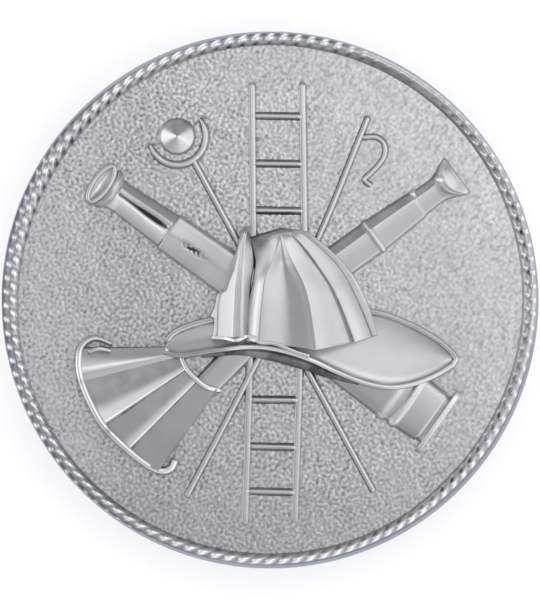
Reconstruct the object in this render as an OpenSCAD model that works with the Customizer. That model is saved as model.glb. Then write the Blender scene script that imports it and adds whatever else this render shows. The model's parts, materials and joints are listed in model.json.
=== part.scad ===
// Disc insignia pin: a struck disc with a rope border and a raised emblem, two soldered posts on
// the back, and the two clutches that hold it on cloth. It lies face up on the clutches' ends:
// +Z is the way the face looks, +Y is the emblem's top, and the origin is under the disc's centre
// on the surface that the clutches stand on.

/* [Disc] */
// Diameter over the edge
disc_d = 25.4; // [24:0.2:27]
// Thickness from the back to the field
disc_t = 1.2; // [1:0.1:2]
// Width of the sloped edge outside the rope
edge_w = 0.2; // [0.1:0.05:0.3]
// Height of the sloped edge
edge_h = 0.6; // [0.3:0.1:0.7]
// Rounding between the back and the edge
back_r = 0.15; // [0.05:0.05:0.2]

/* [Rope border] */
// Number of twists round the rim
rope_twists = 120; // [60:2:160]
// Width of the rope
rope_w = 0.6; // [0.4:0.05:0.8]
// Height of the rope's crown above the field
rope_h = 0.36; // [0.2:0.02:0.5]
// Depth of the groove between two twists
rope_groove = 0.13; // [0.05:0.01:0.18]
// How far a strand runs along the rim while it crosses the rope, in twists
rope_slant = 1.15; // [0.5:0.05:1.5]

/* [Emblem] */
// Height of the helmet's crown above the field
crown_h = 1.6; // [1:0.1:2]
// Depth of the hollow panels between the crown's ridges
panel_dip = 0.16; // [0.05:0.01:0.25]
// Height of the brim's rolled edge above the field
brim_h = 0.95; // [0.7:0.05:1.2]
// Height of the fluted bell at its rim
bell_h = 0.8; // [0.5:0.05:1]
// Depth of the valleys between the bell's flutes
flute_dip = 0.2; // [0.05:0.01:0.3]
// Height of the ladder's rails and the two poles
pole_h = 0.16; // [0.1:0.01:0.25]

/* [Posts and clutches] */
// Distance from the disc's centre to each post
post_x = 6.5; // [6:0.25:6.75]
// Diameter of a post
post_d = 1.1; // [0.9:0.05:1.3]
// Room for cloth between the disc's back and a clutch
cloth_gap = 2.1; // [0.8:0.1:3]
// Diameter of a clutch's plate
clutch_d = 11; // [10:0.5:11.5]
// Height of a clutch
clutch_h = 4.8; // [4:0.2:6]
// Diameter of a clutch's hub
hub_d = 6.2; // [5:0.2:7]
// Width of each wing
wing_w = 3.4; // [2:0.2:4]
// Clearance between a post and its clutch
post_clearance = 0.05; // [0.03:0.01:0.1]

/* [Hidden] */
$fn = 72;
// The emblem's tables below are in millimetres on a disc of this diameter, from its centre
design_d = 25.4;
emblem_k = disc_d / design_d;
// Steep foot of a raised item before its surface turns over
lip = 0.03;
// Depth in the disc of the lowest item's foot. Each item's foot has a depth of its own.
root = 0.24;
root_step = 0.04;
back_z = clutch_h + cloth_gap;
field_z = back_z + disc_t;
// Flat ring between the sloped edge and the rope
rope_inset = 0.02;
rope_r = disc_d / 2 - edge_w - rope_inset - rope_w / 2;
silver = [0.78, 0.78, 0.8];
nickel = [0.7, 0.7, 0.72];

// Ladder. Rails: x and y of the upper end, then of the lower end
rails = [
    [[-0.85, 10.1], [-0.78, 2.6]],
    [[1.53, 10.1], [1.64, 2.6]],
    [[-0.92, -2.0], [-1.18, -10.45]],
    [[1.43, -2.4], [1.17, -10.35]],
];
rail_w = 0.28;
// Rungs: x and y of the left end, then of the right end
rungs = [
    [[-0.84, 8.7], [1.55, 8.66]],
    [[-0.82, 6.45], [1.58, 6.42]],
    [[-0.8, 4.24], [1.61, 4.2]],
    [[-1, -4.7], [1.36, -4.72]],
    [[-1.07, -6.9], [1.29, -6.95]],
    [[-1.13, -9.02], [1.22, -9.08]],
];
rung_w = 0.22;
rung_h = 0.11;

// Ball pole, from the crescent's foot to its lower end
pole_w = 0.28;
ball_pole = [[-3.62, 6.6], [4.85, -8.95]];
ball_c = [-4.37, 7.72];
ball_r = 0.82;
ball_h = 0.5;
crescent_r = 1.34;
crescent_w = 0.3;
crescent_h = 1.4 * pole_h;
// Width of its tips as a part of its width
crescent_tip = 0.4;
// Angles of the crescent's two tips, clockwise from the first
crescent_from = 36;
crescent_to = -161;

// Pike pole: x and y of its tip, of its bend under the helmet, and of its lower end
pike_pole = [[4.6, 8.55], [4.05, 7.2], [2.2, 2.75], [-1.1, -3.85], [-3.9, -9.2]];
// Its hook: x and y from the pole round to the foot
hook = [
    [4.45, 7.68],
    [5.02, 7.69],
    [5.4, 7.36],
    [5.43, 6.87],
    [5.15, 6.4],
    [4.72, 5.95],
    [4.46, 5.68],
    [4.7, 5.45],
];
hook_w = 0.22;
pike_h = 1.1 * pole_h;

// Nozzle. Its axis runs from the mouth down to the coupling
nozzle_mouth = [-7.95, 5.48];
nozzle_end = [8.03, -5.8];
// Stations: distance from the mouth, half width, height
nozzle_rows = [
    [-0.1, 0.86, 0.26],
    [0.22, 0.98, 0.3],
    [0.3, 1, 0.54],
    [0.56, 0.86, 0.5],
    [0.86, 0.72, 0.42],
    [1.2, 0.72, 0.42],
    [3.86, 0.87, 0.5],
    [3.94, 0.98, 0.6],
    [7.5, 1.02, 0.64],
    [13.5, 1.3, 0.62],
    [16.85, 1.42, 0.66],
    [16.95, 1.52, 0.76],
    [17.2, 1.52, 0.76],
    [17.3, 1.42, 0.66],
    [17.5, 1.42, 0.66],
    [17.58, 1.52, 0.76],
    [17.8, 1.52, 0.76],
    [17.88, 1.42, 0.68],
    [19.0, 1.4, 0.66],
    [19.1, 1.3, 0.56],
    [19.26, 1.3, 0.56],
    [19.34, 1.76, 0.8],
    [19.56, 1.76, 0.8],
];
// Its mouth: the ring's half length across the axis, its half length along it, half width, height
mouth_across = 0.98;
mouth_along = 0.3;
mouth_w = 0.12;
mouth_h = 0.6;

// Trumpet. Its barrel runs from the mouthpiece down to the helmet
trumpet_mouth = [8.82, 5.86];
trumpet_under = [2.4, 1.17];
// Stations: distance from the mouthpiece's lip, half width, height
trumpet_rows = [
    [-0.06, 1.07, 0.3],
    [0.36, 1, 0.36],
    [0.42, 0.98, 0.58],
    [0.7, 0.8, 0.52],
    [1.05, 0.62, 0.4],
    [2.25, 0.64, 0.42],
    [2.32, 0.7, 0.5],
    [4.7, 0.86, 0.54],
    [4.76, 0.94, 0.64],
    [4.96, 0.94, 0.64],
    [5.02, 0.84, 0.54],
    [7.95, 0.86, 0.56],
];
// Its barrel below the brim, from under the helmet to the collar: x, y, half width, height
barrel_rows = [
    [-0.9, -1.85, 0.64, 0.5],
    [-3.1, -4.15, 0.58, 0.5],
];
// Collar bead: x, y, half width, height
collar_rows = [
    [-4.22, -2.62, 0.1, 0.5],
    [-3.9, -3.28, 0.13, 0.66],
    [-3.4, -3.8, 0.14, 0.72],
    [-2.94, -4.11, 0.13, 0.66],
    [-2.36, -4.26, 0.1, 0.4],
];
// Bell. Each line runs from the collar to the rim: x and y at the collar, then at the rim, and
// the height at the rim as a part of bell_h. Edges and valleys take turns.
bell_lines = [
    [[-4.25, -2.1], [-8.5, -2.1], 0.4],
    [[-4.25, -2.65], [-8.8, -3.84], 0.86],
    [[-3.9, -3.25], [-7.7, -5.86], 1],
    [[-3.4, -3.8], [-6.55, -7.02], 0.9],
    [[-2.5, -4.22], [-5.05, -7.75], 0.4],
];
// Height at the collar, and depth of the valleys there, as parts of those at the rim
bell_collar_part = 0.6;
flute_collar_part = 0.5;
bell_rows = 5;
flute_steps = 4;
// Rim bead: x, y, half width, height
rim_rows = [
    [-7.5, -2.05, 0.09, 0.4],
    [-8.25, -1.8, 0.12, 0.55],
    [-8.85, -2.14, 0.13, 0.65],
    [-9.02, -2.9, 0.13, 0.8],
    [-8.87, -3.84, 0.13, 0.88],
    [-8.4, -4.95, 0.13, 0.95],
    [-7.8, -5.95, 0.13, 0.95],
    [-6.65, -7.08, 0.13, 0.9],
    [-5.75, -7.78, 0.13, 0.75],
    [-5.1, -8.05, 0.13, 0.6],
    [-4.62, -7.94, 0.12, 0.5],
    [-4.45, -7.55, 0.1, 0.4],
];

// Helmet crown. Six lines fan from the top to the base, the far left edge first. Each row holds
// the x and y of the six lines and the height along them as a part of crown_h.
crown_rows = [
    [[0.3, 3.3], [0.5, 3.3], [0.65, 3.28], [0.85, 3.26], [1.0, 3.24], [1.2, 3.2], 0.42],
    [[-0.35, 3.12], [0.14, 2.5], [0.98, 2.3], [1.9, 2.5], [2.15, 2.62], [2.42, 2.55], 0.76],
    [[-0.95, 2.5], [-0.25, 1.75], [1.36, 1.31], [2.8, 1.45], [3.1, 1.62], [3.42, 1.68], 0.93],
    [[-1.1, 1.0], [-0.47, 0.6], [1.8, 0.26], [3.52, 0.1], [3.85, 0.4], [4.18, 0.52], 1],
    [[-1.15, -0.5], [-0.5, -0.6], [2, -0.9], [3.9, -0.85], [4.35, -0.62], [4.72, -0.45], 1],
    [[-1.2, -2.0], [-0.5, -2.05], [2.13, -2.3], [4.07, -1.95], [4.6, -1.78], [5.03, -1.62], 0.92],
];
// Height of each of the six lines as a part of the row's height
crown_lift = [0.8, 0.94, 1, 0.82, 0.68, 0.42];
// A panel narrower than this is less deep
full_panel_w = 1.2;
crown_steps = 3;
panel_steps = 3;

// Front piece. Rows from the tip down: x of the left edge, the fold and the right edge, then y,
// and the height as a part of the heights below
front_rows = [
    [-1.27, -1.2, -1.12, 3.25, 0.85],
    [-1.62, -1.27, -0.8, 2.35, 1],
    [-1.7, -1.34, -0.74, 1.6, 1],
    [-2.1, -1.4, -0.84, 0.7, 1],
    [-2.5, -1.46, -0.95, 0.2, 1],
    [-2.62, -1.52, -1.02, -0.35, 1],
    [-2.86, -1.56, -1.08, -0.8, 1],
    [-2.53, -1.58, -1.1, -0.92, 1],
    [-2.65, -1.64, -1.22, -1.85, 1],
];
// Height of the left edge, the fold and the right edge
front_h = [0.9, 1.62, 1.32];

// Brim. Stations from the front tip to the back tip: x and y of the near edge, then of the far
// edge, and the near and far edge's height as a part of brim_h
brim_rows = [
    [[-4.95, -2.42], [-4.85, -1.9], 0.7, 0.66],
    [[-4.4, -2.6], [-4.45, -1.5], 0.76, 0.66],
    [[-3.5, -2.52], [-3.5, -1.12], 0.84, 0.66],
    [[-2.4, -2.34], [-2.4, -0.9], 0.9, 0.66],
    [[-0.8, -2.2], [-0.8, -0.8], 0.95, 0.6],
    [[0.5, -2.36], [0.9, -0.6], 1, 0.6],
    [[1.9, -2.8], [2.6, -0.5], 1, 0.6],
    [[3.2, -3.4], [4.2, -0.5], 0.98, 0.6],
    [[4.5, -3.9], [5.3, -0.65], 0.94, 0.6],
    [[5.65, -4.1], [6.2, -0.98], 0.88, 0.6],
    [[6.7, -3.96], [7.1, -1.4], 0.8, 0.6],
    [[7.8, -3.55], [7.95, -1.92], 0.72, 0.6],
    [[8.62, -3.05], [8.6, -2.5], 0.66, 0.62],
];
brim_dip = 0.14;
brim_steps = 2;
brim_spans = 5;
brim_bead_w = 0.14;
brim_bead_lift = 0.08;
// The bead's turn round the back tip: x, y, height as a part of brim_h
brim_turn = [8.79, -2.78, 0.65];

// Points on a smooth curve through the rows of a table, with `steps` stretches between two rows
function spline(rows, i, t) =
    let (
        a = rows[max(i - 1, 0)],
        b = rows[i],
        c = rows[i + 1],
        d = rows[min(i + 2, len(rows) - 1)]
    )
    b + 0.5 * t * (c - a + t * (2 * a - 5 * b + 4 * c - d + t * (3 * b - a - 3 * c + d)));
function smooth(rows, steps) = concat(
    [for (i = [0 : len(rows) - 2], s = [0 : steps - 1]) spline(rows, i, s / steps)],
    [rows[len(rows) - 1]]
);
// Every point lies between two others at part t of the way
function mix(a, b, t) = a + (b - a) * t;
function flat(p) = [p.x, p.y];
// Unit vector to the left of the way from a to b
function left_of(a, b) = [a.y - b.y, b.x - a.x] / norm(flat(b) - flat(a));
// Depth of item number n's foot
function foot(n) = root + root_step * n;
// The two triangles of the face a, b, c, d, split along its shorter diagonal
function halves(p, a, b, c, d) =
    norm(p[a] - p[c]) <= norm(p[b] - p[d]) ? [[a, b, c], [a, c, d]] : [[a, b, d], [b, c, d]];

// A closed solid through sections that all have the same number of points. A ring's last section
// joins its first one, and any other solid has a cap at each end.
module skin(sections, ring = false) {
    n = len(sections[0]);
    m = len(sections);
    points = [for (s = sections) each s];
    sides = [
        for (i = [0 : m - (ring ? 1 : 2)], j = [0 : n - 1])
            let (k = (j + 1) % n, next = (i + 1) % m)
            each halves(points, i * n + j, i * n + k, next * n + k, next * n + j)
    ];
    caps = ring ? [] : [
        for (j = [1 : n - 2])
            each [[0, j + 1, j], [(m - 1) * n, (m - 1) * n + j, (m - 1) * n + j + 1]]
    ];
    polyhedron(points = points, faces = concat(sides, caps));
}

// A raised strip with a half-round top, open or closed to a ring. Rows: x, y, half width, height
module strip(rows, depth, sides = 4, ring = false) {
    n = len(rows);
    sections = [
        for (i = [0 : n - 1])
            let (
                r = rows[i],
                before = rows[ring ? (i + n - 1) % n : max(i - 1, 0)],
                after = rows[ring ? (i + 1) % n : min(i + 1, n - 1)],
                side = left_of(before, after) * r[2]
            )
            concat(
                [[r.x - side.x, r.y - side.y, -depth]],
                [
                    for (j = [0 : sides])
                        let (a = 180 * j / sides)
                        [
                            r.x - side.x * cos(a),
                            r.y - side.y * cos(a),
                            lip + (r[3] - lip) * sin(a)
                        ]
                ],
                [[r.x + side.x, r.y + side.y, -depth]]
            )
    ];
    skin(sections, ring);
}

// A straight bar of one width, from p to q
module bar(p, q, w, h, depth) {
    strip([[p.x, p.y, w / 2, h], [q.x, q.y, w / 2, h]], depth);
}

// A turned body that lies along the line from p to q. Rows: distance from p, half width, height
module turned(p, q, rows, depth, sides = 8) {
    along = (q - p) / norm(q - p);
    strip(
        [for (r = rows) [p.x + along.x * r[0], p.y + along.y * r[0], r[1], r[2]]],
        depth,
        sides
    );
}

// A raised surface over a grid of points, with upright walls down to its foot
module patch(grid, depth) {
    m = len(grid);
    n = len(grid[0]);
    low = m * n;
    top = [for (row = grid) each row];
    points = concat(top, [for (p = top) [p.x, p.y, -depth]]);
    rim = concat(
        [for (j = [0 : n - 2]) j],
        [for (i = [0 : m - 2]) i * n + n - 1],
        [for (j = [n - 1 : -1 : 1]) (m - 1) * n + j],
        [for (i = [m - 1 : -1 : 1]) i * n]
    );
    cells = [
        for (i = [0 : m - 2], j = [0 : n - 2])
            let (a = i * n + j, f = low + a)
            each concat(
                halves(points, a, a + 1, a + n + 1, a + n),
                halves(points, f, f + n, f + n + 1, f + 1)
            )
    ];
    walls = [
        for (k = [0 : len(rim) - 1])
            let (a = rim[k], b = rim[(k + 1) % len(rim)])
            each [[a, low + b, b], [a, low + a, low + b]]
    ];
    polyhedron(points = points, faces = concat(cells, walls));
}

module ladder() {
    for (r = rails) bar(r[0], r[1], rail_w, pole_h, foot(0));
    for (r = rungs) bar(r[0], r[1], rung_w, rung_h, foot(1));
}

module ball_pole() {
    bar(ball_pole[0], ball_pole[1], pole_w, pole_h, foot(2));
    steps = 16;
    tip_steps = 3;
    strip(
        [
            for (i = [0 : steps])
                let (
                    a = mix(crescent_from, crescent_to, i / steps),
                    full = mix(crescent_tip, 1, min(1, min(i, steps - i) / tip_steps))
                )
                [
                    ball_c.x + crescent_r * cos(a),
                    ball_c.y + crescent_r * sin(a),
                    crescent_w / 2 * full,
                    crescent_h
                ]
        ],
        foot(3)
    );
    // The ball is a dome: the cap of a larger ball
    dome_steps = 6;
    sphere_r = (ball_r * ball_r + ball_h * ball_h) / (2 * ball_h);
    half_angle = asin(ball_r / sphere_r);
    translate([ball_c.x, ball_c.y, 0])
        rotate_extrude()
            polygon(concat(
                [[0, -foot(0)], [ball_r, -foot(0)]],
                [
                    for (i = [0 : dome_steps])
                        let (a = half_angle * (1 - i / dome_steps))
                        [sphere_r * sin(a), ball_h - sphere_r + sphere_r * cos(a) + (i == 0 ? lip : 0)]
                ]
            ));
}

module pike_pole() {
    strip([for (p = pike_pole) [p.x, p.y, pole_w / 2, pike_h]], foot(4));
    strip([for (p = smooth(hook, 2)) [p.x, p.y, hook_w / 2, pole_h]], foot(5));
}

module nozzle() {
    turned(nozzle_mouth, nozzle_end, nozzle_rows, foot(6));
    steps = 20;
    along = (nozzle_end - nozzle_mouth) / norm(nozzle_end - nozzle_mouth);
    across = left_of(nozzle_mouth, nozzle_end);
    strip(
        [
            for (i = [0 : steps - 1])
                let (
                    a = 360 * i / steps,
                    p = nozzle_mouth
                        + along * mouth_along * cos(a)
                        + across * mouth_across * sin(a)
                )
                [p.x, p.y, mouth_w, mouth_h]
        ],
        foot(16),
        ring = true
    );
}

module trumpet_barrel() {
    turned(trumpet_mouth, trumpet_under, trumpet_rows, foot(7));
    strip(barrel_rows, foot(8), 8);
}

// The bell's surface: four flutes, each arched between two lines and creased at the valleys
module bell() {
    spans = len(bell_lines) - 1;
    patch(
        [
            for (i = [0 : bell_rows])
                let (t = i / bell_rows)
                concat(
                    [
                        for (k = [0 : spans - 1], s = [0 : flute_steps - 1])
                            bell_point(k, s / flute_steps, t)
                    ],
                    [bell_point(spans - 1, 1, t)]
                )
        ],
        foot(9)
    );
}
function bell_point(k, f, t) =
    let (
        a = bell_lines[k],
        b = bell_lines[k + 1],
        p = mix(mix(a[0], a[1], t), mix(b[0], b[1], t), f),
        rise = bell_h * mix(bell_collar_part, 1, t) * mix(a[2], b[2], f),
        arch = flute_dip * 4 * f * (1 - f) * mix(flute_collar_part, 1, t)
    )
    [p.x, p.y, rise + arch - flute_dip / 2];

module trumpet() {
    trumpet_barrel();
    bell();
    strip(smooth(collar_rows, 3), foot(10));
    strip(smooth(rim_rows, 3), foot(11));
}

// The crown's surface: ridges along the inner lines, and hollow panels between them
module crown() {
    fan = smooth(crown_rows, crown_steps);
    lines = len(crown_lift);
    patch(
        [
            for (row = fan)
                concat(
                    [
                        for (k = [0 : lines - 2], s = [0 : panel_steps - 1])
                            crown_point(row, k, s / panel_steps)
                    ],
                    [crown_point(row, lines - 2, 1)]
                )
        ],
        foot(14)
    );
}
function crown_point(row, k, f) =
    let (
        p = mix(row[k], row[k + 1], f),
        width = norm(row[k + 1] - row[k]),
        dip = panel_dip * min(1, width / full_panel_w) * 4 * f * (1 - f),
        rise = crown_h * row[6] * mix(crown_lift[k], crown_lift[k + 1], f)
    )
    [p.x, p.y, rise - dip];

module front_piece() {
    patch(
        [for (r = front_rows) [for (k = [0 : 2]) [r[k], r[3], front_h[k] * r[4]]]],
        foot(15)
    );
}

// The brim's surface, dished between its two edges, and the bead rolled round it
module brim() {
    stations = smooth(brim_rows, brim_steps);
    patch(
        [
            for (r = stations)
                [
                    for (s = [0 : brim_spans])
                        let (f = s / brim_spans, p = mix(r[0], r[1], f))
                        [p.x, p.y, brim_h * mix(r[2], r[3], f) - brim_dip * 4 * f * (1 - f)]
                ]
        ],
        foot(12)
    );
    near = [for (r = stations) [r[0].x, r[0].y, brim_bead_w, brim_h * r[2] + brim_bead_lift]];
    far = [for (r = stations) [r[1].x, r[1].y, brim_bead_w, brim_h * r[3] + brim_bead_lift]];
    turn = [brim_turn.x, brim_turn.y, brim_bead_w, brim_h * brim_turn.z + brim_bead_lift];
    back = [for (i = [len(far) - 1 : -1 : 0]) far[i]];
    strip(concat(near, [turn], back), foot(13));
}

module helmet() {
    brim();
    crown();
    front_piece();
}

// The rope border. Its mesh lines follow the crests and grooves of the twists.
module rope() {
    profile = 6;
    rings = 2 * rope_twists;
    turn_step = 360 / rings;
    rows = [
        for (i = [0 : rings - 1])
            [
                for (j = [-1 : profile + 1])
                    let (
                        a = 180 * max(0, min(profile, j)) / profile,
                        across = cos(a),
                        along = turn_step * (i - rope_slant * across),
                        top = lip + (rope_h - lip) * sin(a) - (i % 2) * rope_groove * sin(a),
                        r = rope_r + across * rope_w / 2,
                        z = (j < 0 || j > profile) ? -foot(0) : top
                    )
                    [r * cos(along), r * sin(along), z]
            ]
    ];
    skin(rows, ring = true);
}

module plate() {
    r = disc_d / 2;
    rotate_extrude()
        polygon([
            [0, 0],
            [r - back_r, 0],
            [r, back_r],
            [r, disc_t - edge_h],
            [r - edge_w, disc_t],
            [0, disc_t],
        ]);
}

// A soldered post with its spread foot against the disc's back and a pointed end
module post() {
    foot_r = post_d;
    foot_t = 0.25;
    point = 0.8;
    in_clutch = clutch_h - 1;
    length = cloth_gap + in_clutch;
    rotate_extrude()
        polygon([
            [0, disc_t / 2],
            [foot_r, disc_t / 2],
            [foot_r, -foot_t / 2],
            [post_d / 2, -foot_t],
            [post_d / 2, point - length],
            [post_d / 6, -length],
            [0, -length],
        ]);
}

module disc() {
    color(silver) {
        translate([0, 0, back_z]) {
            plate();
            for (side = [-1, 1]) translate([side * post_x, 0, 0]) post();
        }
        translate([0, 0, field_z]) {
            rope();
            scale(emblem_k) {
                ladder();
                ball_pole();
                pike_pole();
                nozzle();
                trumpet();
                helmet();
            }
        }
    }
}

// One clutch: a round plate against the cloth, a hub that grips the post, and two wings
module clutch() {
    plate_t = 0.7;
    rim_h = 0.4;
    rim_w = 0.6;
    hub_round = 0.5;
    wing_t = 0.9;
    wing_z = 0.35;
    bore_floor = 0.7;
    difference() {
        union() {
            rotate_extrude()
                polygon([
                    [0, 0],
                    [hub_d / 2 - hub_round, 0],
                    [hub_d / 2, hub_round],
                    [hub_d / 2, clutch_h - plate_t],
                    [clutch_d / 2 - rim_w, clutch_h - plate_t],
                    [clutch_d / 2 - rim_w, clutch_h - plate_t - rim_h],
                    [clutch_d / 2, clutch_h - plate_t - rim_h],
                    [clutch_d / 2, clutch_h - plate_t / 3],
                    [clutch_d / 2 - plate_t / 3, clutch_h],
                    [0, clutch_h],
                ]);
            translate([0, 0, wing_z])
                linear_extrude(wing_t)
                    union() {
                        square([wing_w, clutch_d - wing_w], center = true);
                        for (side = [-1, 1])
                            translate([0, side * (clutch_d - wing_w) / 2]) circle(d = wing_w);
                    }
        }
        translate([0, 0, bore_floor])
            cylinder(r = post_d / 2 + post_clearance, h = clutch_h);
    }
}

module clutch_left() {
    color(nickel) translate([-post_x, 0, 0]) clutch();
}

module clutch_right() {
    color(nickel) translate([post_x, 0, 0]) clutch();
}

disc();
clutch_left();
clutch_right();
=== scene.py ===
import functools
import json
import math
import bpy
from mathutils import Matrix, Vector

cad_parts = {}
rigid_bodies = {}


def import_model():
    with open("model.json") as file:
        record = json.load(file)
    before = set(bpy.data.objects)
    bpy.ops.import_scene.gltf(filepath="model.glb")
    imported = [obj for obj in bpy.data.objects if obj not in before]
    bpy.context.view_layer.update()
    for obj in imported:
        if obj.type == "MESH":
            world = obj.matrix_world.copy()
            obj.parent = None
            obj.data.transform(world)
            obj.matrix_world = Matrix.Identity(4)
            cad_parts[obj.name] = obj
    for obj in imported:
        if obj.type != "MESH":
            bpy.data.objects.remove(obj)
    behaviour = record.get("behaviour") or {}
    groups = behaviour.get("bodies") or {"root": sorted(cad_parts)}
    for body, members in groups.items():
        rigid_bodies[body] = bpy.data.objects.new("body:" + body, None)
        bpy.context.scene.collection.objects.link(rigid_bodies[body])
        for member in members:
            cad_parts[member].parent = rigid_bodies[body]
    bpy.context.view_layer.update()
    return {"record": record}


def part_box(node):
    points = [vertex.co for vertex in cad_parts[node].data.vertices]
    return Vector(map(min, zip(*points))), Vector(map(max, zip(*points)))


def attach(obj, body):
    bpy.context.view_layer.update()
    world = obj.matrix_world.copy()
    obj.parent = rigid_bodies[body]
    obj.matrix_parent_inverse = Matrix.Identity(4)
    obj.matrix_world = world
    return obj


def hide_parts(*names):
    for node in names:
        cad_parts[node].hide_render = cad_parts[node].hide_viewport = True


bl_info = {
    "name": "Struck Insignia Pin",
    "version": (1, 0, 0),
    "blender": (4, 5, 0),
    "location": "3D View > Sidebar > Pin",
    "description": "Builds a struck disc pin with a rope border, a raised emblem and two clutches",
    "category": "Object",
}

import bpy
import numpy as np
from bpy.props import FloatProperty, FloatVectorProperty, IntProperty, PointerProperty
from mathutils import Matrix, Vector

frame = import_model()

# The disc's own sizes, in millimetres, from the frame
MM = 0.001
DISC_LOW, DISC_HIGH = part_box("disc")
CLUTCH_LOW, CLUTCH_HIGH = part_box("clutch_right")
MOUNTS = {m["name"]: m for m in frame["record"]["mounts"]}
DISC_R = (DISC_HIGH.x - DISC_LOW.x) / 2 / MM
BACK_Z = MOUNTS["cloth_face"]["pos_m"][2] / MM
POST_X = MOUNTS["rest_right"]["pos_m"][0] / MM
POST_END_Z = DISC_LOW.z / MM
CLUTCH_H = (CLUTCH_HIGH.z - CLUTCH_LOW.z) / MM
CLUTCH_R = (CLUTCH_HIGH.x - CLUTCH_LOW.x) / 2 / MM
DISC_T = 1.2
FIELD_Z = BACK_Z + DISC_T

# Every raised item starts in a steep lip, and its foot is sunk into the disc
LIP = 0.03
SINK = 0.25
# A turned body starts and ends in a flat cap of this radius, and its profile has a row this often
AXIS_R = 0.02
PROFILE_STEP = 0.12
# Angles up the round side of a knob
QUARTER = np.linspace(0, math.pi / 2, 8)

# The rope round the rim, by the hour angle clockwise from the top. Rows: angle, distance of its outer
# and inner foot from the rim, then the distance and strength of its main row of grains, of a second row
# and of the pits, which are painted dark with shade, how far the main row is worn into one line, and how
# steeply a grain leans outward, in degrees
ROPE_ROWS = [
    (0, 0.1, 0.66, 0.3, 1.0, 0.5, 0.0, 0.58, 1.0, 0.0, 52),
    (15, 0.09, 0.66, 0.26, 1.0, 0.5, 0.0, 0.56, 1.0, 0.2, 58),
    (25, 0.12, 0.66, 0.22, 0.6, 0.5, 0.0, 0.48, 0.3, 1.0, 55),
    (37, 0.12, 0.66, 0.21, 0.7, 0.5, 0.1, 0.47, 0.4, 0.8, 30),
    (50, 0.11, 0.67, 0.2, 0.9, 0.5, 0.6, 0.47, 0.8, 0.6, 28),
    (75, 0.09, 0.74, 0.19, 1.0, 0.55, 1.0, 0.45, 1.0, 0.5, 35),
    (95, 0.15, 0.78, 0.24, 0.8, 0.6, 0.7, 0.5, 0.6, 0.6, 35),
    (105, 0.2, 0.8, 0.3, 0.7, 0.66, 0.5, 0.6, 0.6, 0.5, 35),
    (120, 0.25, 0.84, 0.38, 0.8, 0.76, 0.5, 0.62, 1.0, 0.2, 32),
    (135, 0.28, 0.84, 0.42, 0.9, 0.78, 0.4, 0.62, 1.0, 0.1, 30),
    (150, 0.27, 0.74, 0.41, 0.9, 0.78, 0.0, 0.61, 1.0, 0.0, 30),
    (165, 0.25, 0.72, 0.4, 0.9, 0.15, 0.0, 0.59, 1.0, 0.0, 32),
    (195, 0.17, 0.72, 0.44, 1.1, 0.15, 0.2, 0.61, 1.1, 0.0, 33),
    (225, 0.08, 0.7, 0.48, 1.0, 0.15, 0.6, 0.63, 0.7, 0.0, 25),
    (255, 0.06, 0.74, 0.57, 1.25, 0.2, 1.1, 0.72, 0.2, 0.0, 22),
    (270, 0.05, 0.8, 0.6, 1.3, 0.24, 1.0, 0.78, 0.3, 0.0, 25),
    (285, 0.05, 0.88, 0.6, 1.2, 0.27, 0.8, 0.8, 0.9, 0.0, 28),
    (300, 0.07, 0.86, 0.52, 1.0, 0.2, 0.7, 0.76, 1.1, 0.0, 34),
    (315, 0.12, 0.8, 0.44, 1.0, 0.2, 0.2, 0.68, 1.1, 0.0, 30),
    (330, 0.18, 0.74, 0.39, 1.0, 0.2, 0.0, 0.62, 1.0, 0.0, 22),
    (345, 0.17, 0.7, 0.37, 1.1, 0.5, 0.0, 0.61, 1.0, 0.0, 25),
    (360, 0.1, 0.66, 0.3, 1.0, 0.5, 0.0, 0.58, 1.0, 0.0, 52),
]
# A grain's half length and half width
GRAIN_LONG = 0.27
GRAIN_WIDE = 0.135
ROPE_SINK = 0.5
# Sections of the rope to a twist, and points across it
ROPE_STEPS = 14
ROPE_ACROSS = 31
# Grains of the second row, and pits: by how many pitches they are shifted against the main row's
# grains, then their lean, length and width as parts of the main row's
SECOND_GRAIN = (0.4, 1, 0.55, 0.75)
PIT_GRAIN = (0.1, 0.6, 0.6, 0.7)
# The stretch that is worn smooth: the hour angles where it starts and ends, and how softly. Then the
# dark line along it: its distance from the rim, half width and strength
WORN_STRETCH = (16, 36, 5)
WORN_LINE = (0.48, 0.12, 0.4)

# The field's noise is an image of this width, with this many pixels a side
FIELD_IMAGE_W = 26.0
FIELD_IMAGE_PX = 1100
# Seeds of its pebbles and of the slow swell under them
PEBBLE_SEED = 7
SWELL_SEED = 11
# How far the field's rim lies inside the disc's, and how far two points of its lattice lie apart
FIELD_INSET = 0.52
FIELD_STEP = 0.0755
# The way in which the field gets calmer
CALM_WAY = (0.8, 0.35)

# The ladder. Rails: x and y of the upper end, then of the lower end
RAILS = [
    [(-0.85, 10.1), (-0.78, 2.6)],
    [(1.53, 10.1), (1.64, 2.6)],
    [(-0.92, -2.0), (-1.18, -10.45)],
    [(1.43, -2.4), (1.17, -10.35)],
]
RAIL_W = 0.3
RAIL_H = 0.11
# Rungs: x and y of the left end, then of the right end
RUNGS = [
    [(-0.84, 8.7), (1.55, 8.66)],
    [(-0.82, 6.45), (1.58, 6.42)],
    [(-0.8, 4.24), (1.61, 4.2)],
    [(-1.0, -4.7), (1.36, -4.72)],
    [(-1.07, -6.9), (1.29, -6.95)],
    [(-1.13, -9.02), (1.22, -9.08)],
]
RUNG_W = 0.2
RUNG_H = 0.12

# The ball pole: its shaft, the ball and the crescent under the ball
BALL_SHAFT = [(-3.62, 6.6), (4.85, -8.95)]
SHAFT_W = 0.26
SHAFT_H = 0.17
BALL_CENTRE = (-4.37, 7.72)
BALL_R = 0.85
BALL_H = 0.58
BALL_SHOULDER = (0.75, 0.15)
CRESCENT_R = 1.34
CRESCENT_W = 0.28
CRESCENT_H = 0.2
# Angles of the crescent's two tips, in degrees
CRESCENT_FROM = 36
CRESCENT_TO = -161

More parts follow.
